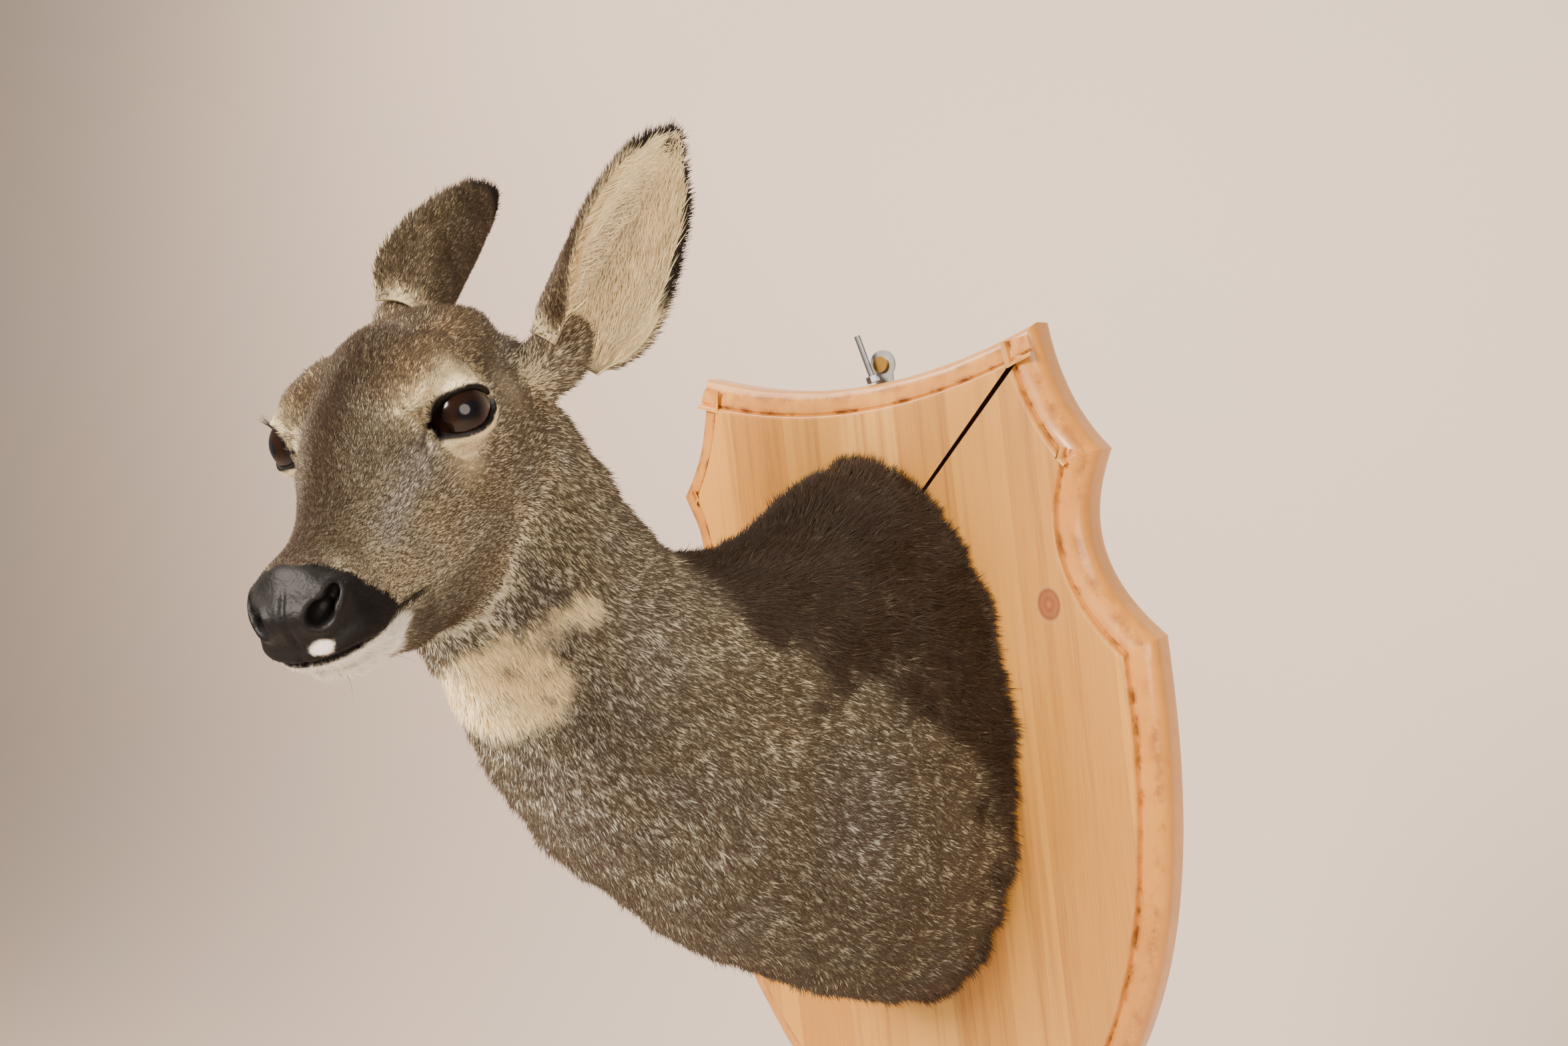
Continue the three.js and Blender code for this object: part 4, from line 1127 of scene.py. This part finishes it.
# The long pale locks that sweep up the hollow.
def buildEarLocks(side):
    whole, sizes = earParts[side]["grid"], coat["locks"]
    rng, fromMiddle = np.random.default_rng(sizes["seed"]), np.abs(whole["across"])
    share = (1 - whole["outer"]) * ramp(whole["share"], 0.02, 0.1)
    share = share * (0.4 + ramp(fromMiddle, 0.3, 0.7)) * ramp(-fromMiddle, -0.93, -0.86)
    p, n, grid, values, along, outward = earRoots(side, sizes["count"], coat["rootSeeds"]["locks"], share)
    lie = flatOn(n, unit(along - outward * sizes["inward"]))
    values["black"] = values["black"] * 0
    values["cream"] = np.maximum(values["cream"], 0.85)
    base, more = sizes["long"]
    long = (base + more * ramp(np.abs(grid["across"]), 0.3, 0.9)) * rng.uniform(0.6, 1.15, len(p))
    long = long * (1 - 0.6 * ramp(grid["share"], 0.6, 0.95))
    wide = sizes["wide"] * rng.uniform(0.7, 1.2, len(p))
    mean, spread = sizes["lift"]
    lift = np.clip(np.radians(mean + spread * rng.normal(size=len(p))), 0.1, 0.6)
    place = np.column_stack([0.02 + 0.96 * (grid["across"] * 0.5 + 0.5), 0.02 + 0.96 * grid["share"]])
    coatPiece(f"locks_ear_{side}", "ear_hair", p, n, lie, long, wide, lift, values, place, rng,
              sizes["clump"], np.full(len(p), 0.5), bent=True)
    print("locks_ear", side, len(p))


def buildCoat():
    rng = np.random.default_rng(coat["seed"])
    _, onHead, q, _ = markings(hidePoints)
    far, beyond, *_ = eyePlace(q)
    nose = ramp(q[:, 1] + 0.25 * q[:, 2], marks["leatherFrom"] - 0.5,
                marks["leatherFrom"] + 1) * ramp(mouthRise(q), 1, 4)
    bare = np.clip((nose + ramp(-beyond, -2.4, -1.6) * ramp(-far, -18, -16)) * onHead, 0, 1)
    buried = (hideNormals[:, 1] > 0.9) & (hidePoints[:, 1] > body["boardFace"] - 3)
    shared = (1 - bare) * ~buried
    buildBodyCoat(rng, shared * (onHead < 0.5))
    buildHeadCoat(rng, shared * (onHead >= 0.5) * np.interp(q[:, 1], (-98, -40, 40, 104),
        (0.75, 0.9, 1.25, 1.5)))
    for side in ("left", "right"):
        buildEarCoat(side, rng)
        buildEarLocks(side)


buildCoat()
print("coat built")

# ---- glass eyes


def buildEye(node, sign):
    name = node.replace("eye", "glass_eye")
    around, rows = eyes["steps"]
    (bulge, spread), (wide, high) = eyes["cornea"], eyes["pupil"]
    axes = np.stack([eyeSlit, eyeUp, eyeOut]) * np.array([sign, 1, 1])
    centre = fromHead(np.array([[sign * eyes["centre"][0], *eyes["centre"][1:]]]))[0]
    angle = np.linspace(0, math.pi, rows + 1)[1:-1]
    turn = np.arange(around) / around * 2 * math.pi
    a, t = np.meshgrid(angle, turn, indexing="ij")
    a, t = a.ravel(), t.ravel()
    local = np.column_stack([np.sin(a) * np.cos(t), np.sin(a) * np.sin(t), np.cos(a)])
    local = np.concatenate([local, [[0, 0, 1], [0, 0, -1]]])
    a = np.concatenate([a, [0, math.pi]])
    radius = eyes["radius"] * (1 + bulge * hill(a / spread))
    points = centre + (local * radius[:, None]) @ (axes @ headRows)
    faces = []
    last = rows - 2
    top, bottom = len(points) - 2, len(points) - 1
    for i in range(last):
        j = np.arange(around)
        k = (j + 1) % around
        faces += np.stack([i * around + j, (i + 1) * around + j, (i + 1) * around + k, i * around + k],
                          1).tolist()
    faces += [(j, (j + 1) % around, top) for j in range(around)]
    faces += [(last * around + (j + 1) % around, last * around + j, bottom) for j in range(around)]
    mesh = bpy.data.meshes.new(name)
    mesh.from_pydata((points * mm).tolist(), [], faces)
    pupil = np.hypot(local[:, 0] / wide, local[:, 1] / high) + 4 * (local[:, 2] < 0)
    keepValues(mesh, {"away": a / math.pi * 2, "pupil": pupil})
    closeMesh(mesh)
    mesh.shade_smooth()
    mesh.materials.append(glass)
    placePiece(addObject(name, mesh), "eye_glass", node)


for node, sign in (("eye_left", 1), ("eye_right", -1)):
    buildEye(node, sign)
print("eyes built")

# ---- shield board

board = {
    "topMiddle": 226, "corner": (122, 247), "shoulder": (153, 170), "hip": (174, 61), "point": -300,
    "steps": (26, 14, 26, 46),
    "edge": 14, "ovoloWide": 14, "ovoloDeep": 12.5, "ovoloSteps": 10,
    "quirk": ((14.4, -25.9), (15.2, -25.5), (15.7, -26.2), (15.9, -27.6)),
    "bead": ((16.3, -28.8), (16.9, -29.5), (17.7, -29.9), (18.6, -30)),
    "pocket": {"x": 9, "wide": 20, "from": 190, "long": 80, "deep": 5},
    # vertical staves: where each ends across the board, and its tone
    "staves": ((-131, "#c98f4b"), (-98, "#dca65c"), (-55, "#c78e49"), (-14, "#d6a25a"), (27, "#dfb06c"),
               (64, "#c9934d"), (99, "#d9a45c"), (152, "#c89450"), (180, "#d9a458")),
    "fibre": "#e8c283", "honey": ("#e8ab5c", "#c87f35"),
    "varnish": "#eeddae",    # what the varnish takes from each of the tones above
    "knot": (117, 85),
}


def bezier(points, steps):
    t = np.arange(steps)[:, None] / steps
    p = np.array(points, float)
    if len(p) == 3:
        return (1 - t) ** 2 * p[0] + 2 * t * (1 - t) * p[1] + t**2 * p[2]
    return (1 - t) ** 3 * p[0] + 3 * t * (1 - t) ** 2 * p[1] + 3 * t**2 * (1 - t) * p[2] + t**3 * p[3]


def boardOutline():
    top, point = board["topMiddle"], board["point"]
    (cx, cz), (sx, sz), (hx, hz) = board["corner"], board["shoulder"], board["hip"]
    a, b, c, d = board["steps"]
    right = np.concatenate([
        bezier([(0, top), (cx / 2, top), (cx, cz)], a),
        bezier([(cx, cz), (cx + 5, cz - 47), (sx, sz)], b),
        bezier([(sx, sz), (sx - 14, sz - 29), (sx - 24, sz - 66), (hx, hz)], c),
        bezier([(hx, hz), (hx + 6, hz - 156), (hx - 22, hz - 301), (0, point)], d),
    ])
    left = right[1:][::-1] * np.array([-1, 1])
    return np.concatenate([right, [[0, point]], left])


def insetOutline(outline, inset):
    before, after = np.roll(outline, 1, 0), np.roll(outline, -1, 0)
    a, b = unit(outline - before), unit(after - outline)
    normal = unit(np.column_stack([a[:, 1] + b[:, 1], -a[:, 0] - b[:, 0]]))
    reach = inset / np.maximum(0.5, (normal * np.column_stack([a[:, 1], -a[:, 0]])).sum(1))
    return outline + normal * reach[:, None]


def underVarnish(text):
    return tuple(a * b for a, b in zip(colour(text), colour(board["varnish"])))


# Pine boards glued side by side, sawn and moulded: straight grain with darker summer wood, under
# glossy honey varnish, with painted shade in the moulding's groove and along the middle of its round.
def pineMaterial():
    made, tree = newMaterial("varnishedPine")
    half = board["staves"][-1][0]
    place = addNode(tree, "TexCoord").outputs["Object"]
    parts = addNode(tree, "SeparateXYZ", {0: place})
    sway = addNode(tree, "TexNoise", {"Vector": place, "Scale": 1 / (160 * mm), "Detail": 1.0})
    bent = addNode(tree, "Math", {0: sway.outputs["Fac"], 1: 5 * mm, 2: parts.outputs["X"]},
                   operation="MULTIPLY_ADD")
    share = addNode(tree, "MapRange",
                    {"Value": parts.outputs["X"], "From Min": -half * mm, "From Max": half * mm})
    tones = addNode(tree, "ValToRGB", {"Fac": share})
    tones.color_ramp.interpolation = "CONSTANT"
    starts = (-half, *[stop for stop, _ in board["staves"]])
    setStops(tones, [((start + half) / (2 * half), underVarnish(text))
                     for start, (_, text) in zip(starts, board["staves"])])
    # year rings stand 3 to 4 mm apart across the staves and run up the board
    rings = addNode(tree, "CombineXYZ", {"X": bent, "Z": parts.outputs["Z"], "Y": parts.outputs["Y"]})
    laid = addNode(tree, "Mapping", {"Vector": rings, "Scale": (1, 0.3, 0.02)})
    wide = addNode(tree, "TexNoise",
                   {"Vector": laid, "Scale": 1 / (7 * mm), "Detail": 3.0, "Roughness": 0.55})
    summer = addNode(tree, "MapRange",
                     {"Value": wide.outputs["Fac"], "From Min": 0.5, "From Max": 0.66, "To Max": 0.6})
    fibre = addNode(tree, "TexNoise", {"Vector": laid, "Scale": 1 / (0.7 * mm), "Detail": 2.0})
    fine = addNode(tree, "MapRange",
                   {"Value": fibre.outputs["Fac"], "From Min": 0.35, "From Max": 0.7, "To Max": 0.25})
    grained = addNode(tree, "Mix", {0: summer, 6: tones, 7: colour("#9a6229")}, data_type="RGBA")
    grained = addNode(tree, "Mix", {0: fine, 6: grained.outputs[2], 7: underVarnish(board["fibre"])},
                      data_type="RGBA")
    # a red-brown knot with a paler heart
    kx, kz = board["knot"]
    around = addNode(tree, "Mapping", {"Vector": place, "Location": (-kx * mm, 0, -kz * mm)})
    flat = addNode(tree, "Mapping", {"Vector": around, "Scale": (1.15, 0, 0.85)})
    away = addNode(tree, "VectorMath", {0: flat}, operation="LENGTH")
    knot = addNode(tree, "ValToRGB", {"Fac": addNode(tree, "Math", {
        0: away.outputs["Value"], 1: 1 / (20 * mm)}, operation="MULTIPLY").outputs[0]})
    stops = ((0.0, "#a8663c"), (0.14, "#7d452a"), (0.26, "#8f5434"), (0.36, "#7a4528"), (0.46, "#b98753"))
    setStops(knot, [(at, colour(text)) for at, text in stops])
    inKnot = addNode(tree, "MapRange",
                     {"Value": away.outputs["Value"], "From Min": 7.5 * mm, "From Max": 10.5 * mm,
                      "To Min": 0.9, "To Max": 0.0})
    wood = addNode(tree, "Mix", {0: inKnot, 6: grained.outputs[2], 7: knot}, data_type="RGBA")
    # varnish: deeper orange on the moulding; painted shade, dark brown in blotches, in its groove and along
    # the middle of its round
    moulding = addNode(tree, "Attribute", attribute_name="moulding").outputs["Fac"]
    mouldingShade = addNode(tree, "Attribute", attribute_name="mouldingShade").outputs["Fac"]
    blotch = addNode(tree, "TexNoise",
                     {"Vector": place, "Scale": 1 / (14 * mm), "Detail": 4.0, "Roughness": 0.65})
    honey = addNode(tree, "Mix", {0: blotch.outputs["Fac"], 6: underVarnish(board["honey"][0]),
                                  7: underVarnish(board["honey"][1])}, data_type="RGBA")
    partly = addNode(tree, "Math", {0: moulding, 1: 0.62}, operation="MULTIPLY")
    varnished = addNode(tree, "Mix", {0: partly, 6: wood.outputs[2], 7: honey.outputs[2]}, data_type="RGBA")
    # painted shade: dark brown blotches where the moulding's groove and round hold shade
    spots = addNode(tree, "MapRange", {"Value": blotch.outputs["Fac"], "From Min": 0.46, "From Max": 0.6})
    paintedShade = addNode(tree, "Math", {0: spots, 1: mouldingShade}, operation="MULTIPLY")
    done = addNode(tree, "Mix", {0: paintedShade, 6: varnished.outputs[2], 7: colour("#6e3a18")}, data_type="RGBA")
    bump = addNode(tree, "Bump", {"Height": wide.outputs["Fac"], "Distance": 0.3 * mm, "Strength": 0.25})
    shader = addNode(tree, "BsdfPrincipled", {
        "Base Color": done.outputs[2], "Roughness": 0.42, "Specular IOR Level": 0.3, "Normal": bump,
        "Coat Weight": 0.5, "Coat Roughness": 0.14, "Coat IOR": 1.45})
    finishMaterial(tree, shader)
    return made


def buildBoard():
    outline = boardOutline()
    section = [(0.9, 0.0), (0.25, -0.25), (0.0, -0.9), (0.0, -5), (0.0, -9.5), (0.0, -board["edge"])]
    for n in range(1, board["ovoloSteps"] + 1):
        angle = n / board["ovoloSteps"] * math.pi / 2
        section.append((board["ovoloWide"] * (1 - math.cos(angle)),
                        -board["edge"] - board["ovoloDeep"] * math.sin(angle)))
    section += [*board["quirk"], *board["bead"]]
    rings, inset = [], []
    for depth, y in section:
        ring = insetOutline(outline, depth)
        rings.append(np.column_stack([ring[:, 0], np.full(len(ring), y), ring[:, 1]]))
        inset += [depth] * len(ring)
    inset = np.array(inset)
    points = np.concatenate(rings)
    y = points[:, 1]
    worn = ramp(inset, 0, 3) * ramp(-inset, -13.5, -10) * ramp(-y, 14, 18)
    points += 0.35 * worn[:, None] * unit(np.column_stack([points[:, 0], -60 + 0 * y,
        points[:, 2]])) * wander(points, 18, 61)[:, None]
    size = len(outline)
    faces = []
    for i in range(len(section) - 1):
        j = np.arange(size)
        k = (j + 1) % size
        faces += np.stack([i * size + j, (i + 1) * size + j, (i + 1) * size + k, i * size + k], 1).tolist()
    faces.append(list(range(size)))
    faces.append(list(range((len(section) - 1) * size, len(section) * size))[::-1])
    mesh = bpy.data.meshes.new("board")
    mesh.from_pydata((points * mm).tolist(), [], faces)
    closeMesh(mesh)
    # painted shade on the moulding: in the groove (quirk) and in a band along the middle of the round
    mouldingShade = hill((inset - 14.6) / 1.5) + 0.55 * hill((inset - 5.5) / 2.5) * (y < -18)
    keepValues(mesh, {"mouldingShade": np.clip(mouldingShade, 0, 1), "moulding": inset < 17.2})
    pocket = board["pocket"]
    middle = Vector((pocket["x"], 0, pocket["from"] + pocket["long"] / 2)) * mm
    size = (pocket["wide"] * mm, pocket["deep"] * 2 * mm, pocket["long"] * mm, 1)
    cutter = bpy.data.meshes.new("pocket")
    work = bmesh.new()
    bmesh.ops.create_cube(work, size=1.0, matrix=Matrix.Translation(middle) @ Matrix.Diagonal(size))
    work.to_mesh(cutter)
    work.free()
    pine = pineMaterial()
    mesh.materials.append(pine)
    cutter.materials.append(pine)
    whole, tool = addObject("boardWhole", mesh), addObject("pocket", cutter)
    cut = whole.modifiers.new("pocket", "BOOLEAN")
    cut.operation, cut.object, cut.solver = "DIFFERENCE", tool, "EXACT"
    bpy.context.view_layer.update()
    final = bpy.data.meshes.new_from_object(whole.evaluated_get(bpy.context.evaluated_depsgraph_get()))
    final.name = "pine_board"
    final.polygons.foreach_set("use_smooth", np.array([abs(f.normal.y) < 0.99 for f in final.polygons]))
    final.set_sharp_from_angle(angle=math.radians(32))
    made = addObject("pine_board", final)
    for o in (whole, tool):
        bpy.data.objects.remove(o)
    placePiece(made, "pine", "shield_board")


buildBoard()
print("board built")

# ---- hanger let into the board's back


# Zinc plate, brass and dulled steel: plain metals, finely scratched, with a dulled and spotted surface.
def metalMaterial(name, light, dull, rough):
    made, tree = newMaterial(name)
    place = addNode(tree, "TexCoord").outputs["Object"]
    cloud = addNode(tree, "TexNoise",
                    {"Vector": place, "Scale": 1 / (5 * mm), "Detail": 5.0, "Roughness": 0.7})
    base = addNode(tree, "Mix", {0: cloud.outputs["Fac"], 6: colour(light), 7: colour(dull)},
                   data_type="RGBA")
    stretched = addNode(tree, "Mapping", {"Vector": place, "Scale": (1, 1, 0.08)})
    scratch = addNode(tree, "TexNoise", {"Vector": stretched, "Scale": 1 / (0.6 * mm), "Detail": 2.0})
    rougher = addNode(tree, "MapRange",
                      {"Value": cloud.outputs["Fac"], "To Min": rough - 0.08, "To Max": rough + 0.16})
    bump = addNode(tree, "Bump", {"Height": scratch.outputs["Fac"], "Distance": 0.06 * mm, "Strength": 0.5})
    shader = addNode(tree, "BsdfPrincipled", {
        "Base Color": base.outputs[2], "Metallic": 1.0, "Roughness": rougher, "Normal": bump})
    finishMaterial(tree, shader)
    return made


metals = {
    "hanger_plate": metalMaterial("zincPlate", "#b9b9b4", "#8f9090", 0.36),
    "hanger_hub": metalMaterial("agedBrass", "#b98f45", "#7d5a28", 0.36),
    "hanger_pin": metalMaterial("dulledSteel", "#a3a6a8", "#5c6164", 0.34),
}
for node, metal in metals.items():
    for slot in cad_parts[node].material_slots:
        slot.link = "OBJECT"
        slot.material = metal
print("hanger dressed")

# ---- lashes and feelers: one bristle, bent and tapered, set on chosen points

bristles = {
    "lashes": {"count": 40, "long": 7.0, "thick": 0.12, "bend": 0.28, "spread": 0.3, "seed": 3},
    "feelers": {"long": 15.0, "thick": 0.13, "bend": 0.2, "spread": 0.4, "seed": 4,
                "tries": 9000, "trySeed": 71, "every": 9},
}


def bristleTree():
    tree = bpy.data.node_groups.new("bristles", "GeometryNodeTree")
    sockets = [("Roots", "NodeSocketGeometry"), ("Length", "NodeSocketFloat"),
               ("Thickness", "NodeSocketFloat"),
               ("Bend", "NodeSocketFloat"), ("Spread", "NodeSocketFloat"), ("Seed",
                   "NodeSocketInt"), ("Hair", "NodeSocketMaterial")]
    ids = {name: tree.interface.new_socket(name=name, in_out="INPUT",
                                           socket_type=kind).identifier for name, kind in sockets}
    tree.interface.new_socket(name="Bristles", in_out="OUTPUT", socket_type="NodeSocketGeometry")
    given = addNode(tree, "NodeGroupInput").outputs
    bent = addNode(tree, "Math", {0: given["Length"], 1: given["Bend"]}, operation="MULTIPLY")
    half = addNode(tree, "Math", {0: given["Length"], 1: 0.5}, operation="MULTIPLY")
    middle = addNode(tree, "CombineXYZ", {"Z": half})
    end = addNode(tree, "CombineXYZ", {"X": bent, "Z": given["Length"]})
    spine = addNode(tree, "GeometryNodeCurveQuadraticBezier",
                    {"Resolution": 5, "Start": (0, 0, 0), "Middle": middle, "End": end})
    place = addNode(tree, "GeometryNodeSplineParameter")
    taper = addNode(tree, "MapRange", {"Value": place.outputs["Factor"], "To Min": 1.0, "To Max": 0.12})
    sized = addNode(tree, "GeometryNodeSetCurveRadius", {"Curve": spine, "Radius": taper})
    ring = addNode(tree, "GeometryNodeCurvePrimitiveCircle",
                   {"Resolution": 5, "Radius": given["Thickness"]})
    tube = addNode(tree, "GeometryNodeCurveToMesh",
                   {"Curve": sized, "Profile Curve": ring, "Fill Caps": True})
    if "Scale" in tube.inputs:
        tree.links.new(taper.outputs[0], tube.inputs["Scale"])
    aim = addNode(tree, "GeometryNodeInputNamedAttribute", {"Name": "aim"}, data_type="FLOAT_VECTOR")
    stray = addNode(tree, "FunctionNodeRandomValue", {0: (-1, -1, -1), 1: (1, 1, 1), 8: given["Seed"]},
                    data_type="FLOAT_VECTOR")
    wide = addNode(tree, "VectorMath", {0: stray, "Scale": given["Spread"]}, operation="SCALE")
    mixed = addNode(tree, "VectorMath", {0: aim.outputs["Attribute"], 1: wide}, operation="ADD")
    turn = addNode(tree, "FunctionNodeAlignRotationToVector", {"Vector": mixed}, axis="Z")
    size = addNode(tree, "FunctionNodeRandomValue", {2: 0.6, 3: 1.05, 8: given["Seed"]}, data_type="FLOAT")
    placed = addNode(tree, "GeometryNodeInstanceOnPoints", {
        "Points": given["Roots"], "Instance": tube, "Rotation": turn, "Scale": size.outputs[1]})
    real = addNode(tree, "GeometryNodeRealizeInstances", {0: placed})
    painted = addNode(tree, "GeometryNodeSetMaterial", {"Geometry": real, "Material": given["Hair"]})
    addNode(tree, "NodeGroupOutput", {0: painted})
    return tree, ids


def growBristles(name, roots, aims, sizes, tree, ids):
    mesh = bpy.data.meshes.new(name)
    mesh.from_pydata((roots * mm).tolist(), [], [])
    mesh.attributes.new("aim", "FLOAT_VECTOR", "POINT").data.foreach_set("vector",
        aims.astype(np.float32).ravel())
    base = addObject(name, mesh)
    grown = base.modifiers.new("bristles", "NODES")
    grown.node_group = tree
    for key, value in (("Length", sizes["long"] * mm), ("Thickness", sizes["thick"] * mm),
                       ("Bend", sizes["bend"]),
                       ("Spread", sizes["spread"]), ("Seed", sizes["seed"]), ("Hair", lash)):
        grown[ids[key]] = value
    bpy.context.view_layer.update()
    final = bpy.data.meshes.new_from_object(base.evaluated_get(bpy.context.evaluated_depsgraph_get()))
    base.modifiers.clear()
    bpy.data.objects.remove(base)
    final.name = name
    placePiece(addObject(name, final), "head_hair")
    return len(final.polygons)


def buildBristles():
    tree, ids = bristleTree()
    count = bristles["lashes"]["count"]
    along = np.linspace(-0.82, 0.8, count)
    rise = lidHeight("upper", along) + 0.02
    local = np.column_stack([np.sqrt(np.clip(1 - along**2 - rise**2, 0.02, 1)), along, rise])
    roots, aims = [], []
    for sign in (1, -1):
        axes = np.stack([eyeOut, eyeSlit, eyeUp]) * np.array([sign, 1, 1])
        centre = np.array([sign * eyes["centre"][0], *eyes["centre"][1:]])
        ray = local @ axes
        roots.append(fromHead(centre + ray * (eyes["radius"] + 0.9) / head["scale"]))
        aims.append(unit(ray * 1.0 + axes[2] * 0.15 + axes[1] * (-0.35)) @ headRows)
    roots, aims = np.concatenate(roots), np.concatenate(aims)
    print("lash faces", growBristles("lashes", roots, aims, bristles["lashes"], tree, ids))
    feelers = bristles["feelers"]
    p, n, *_ = pickRoots(hidePoints, hideQuads, hideNormals, feelers["tries"], feelers["trySeed"])
    q = toHead(p)
    f, rise = q[:, 1], mouthRise(q)
    onChin = (f > 78) & (rise < -4) & (rise > -16)
    onLip = (f > 78) & (f < 106) & (rise > 2) & (rise < 14) & (np.abs(q[:, 0]) > 9)
    chosen = np.nonzero(onChin | onLip)[0][::feelers["every"]]
    back = -headRows[1] * 0.5 + headRows[2] * -0.25
    roots, aims = p[chosen] - n[chosen] * 0.5, unit(n[chosen] + back)
    print("feeler faces", growBristles("feelers", roots, aims, feelers, tree, ids))


buildBristles()
print("bristles built")

# ---- light, backdrop and finish

studio = {
    "paper": "#fcead9",
    "wallAt": 2.3, "floorAt": -1.35, "bend": 0.9, "half": 9.0, "front": -9.0, "high": 7.0, "bendSteps": 16,
    "key": {"place": (-0.15, -1.9, 1.0), "size": 0.7, "power": 104, "colour": "#fff3e6"},
    "fill": {"place": (2.1, -1.3, 0.4), "size": 1.6, "power": 56, "colour": "#fff0e0"},
    "top": {"place": (-0.6, 0.1, 2.1), "size": 1.6, "power": 42, "colour": "#fff4ea"},
    "wash": {"place": (-2.2, 0.0, 2.2), "at": (-1.7, 2.3, 0.0), "size": 1.6, "power": 80,
             "colour": "#ffe8d2"},
    "air": ("#f3e9e1", 0.32),
}


def addBackdrop():
    made, tree = newMaterial("backdropPaper")
    place = addNode(tree, "TexCoord").outputs["Object"]
    cloud = addNode(tree, "TexNoise", {"Vector": place, "Scale": 1.3, "Detail": 2.0})
    tone = addNode(tree, "Mix", {0: cloud.outputs["Fac"], 6: colour(studio["paper"]),
                                 7: colour("#f4eae2")}, data_type="RGBA")
    finishMaterial(tree, addNode(tree, "BsdfPrincipled", {"Base Color": tone.outputs[2], "Roughness": 0.9}))
    bend, floor, wall = studio["bend"], studio["floorAt"], studio["wallAt"]
    profile = [(studio["front"], floor)]
    for n in range(studio["bendSteps"] + 1):
        angle = n / studio["bendSteps"] * math.pi / 2
        profile.append((wall - bend + bend * math.sin(angle), floor + bend - bend * math.cos(angle)))
    profile.append((wall, studio["high"]))
    points = [(x, y, z) for y, z in profile for x in (-studio["half"], studio["half"])]
    faces = [(2 * n, 2 * n + 1, 2 * n + 3, 2 * n + 2) for n in range(len(profile) - 1)]
    mesh = bpy.data.meshes.new("backdrop")
    mesh.from_pydata(points, [], faces)
    mesh.shade_smooth()
    mesh.materials.append(made)
    addObject("backdrop", mesh)


def addLights():
    for name in ("key", "fill", "top", "wash"):
        s = studio[name]
        target = Vector(s.get("at", (0.0, -0.25, 0.08)))
        data = bpy.data.lights.new(name, "AREA")
        data.shape = "DISK"
        data.size, data.energy, data.color = s["size"], s["power"], colour(s["colour"])[:3]
        made = addObject(name, data)
        made.location = s["place"]
        made.rotation_euler = (target - made.location).to_track_quat("-Z", "Y").to_euler()
    world = bpy.data.worlds.new("studioAir")
    world.use_nodes = True
    back = world.node_tree.nodes["Background"]
    back.inputs[0].default_value = colour(studio["air"][0])
    back.inputs[1].default_value = studio["air"][1]
    bpy.context.scene.world = world


addBackdrop()
addLights()
print("finishing")
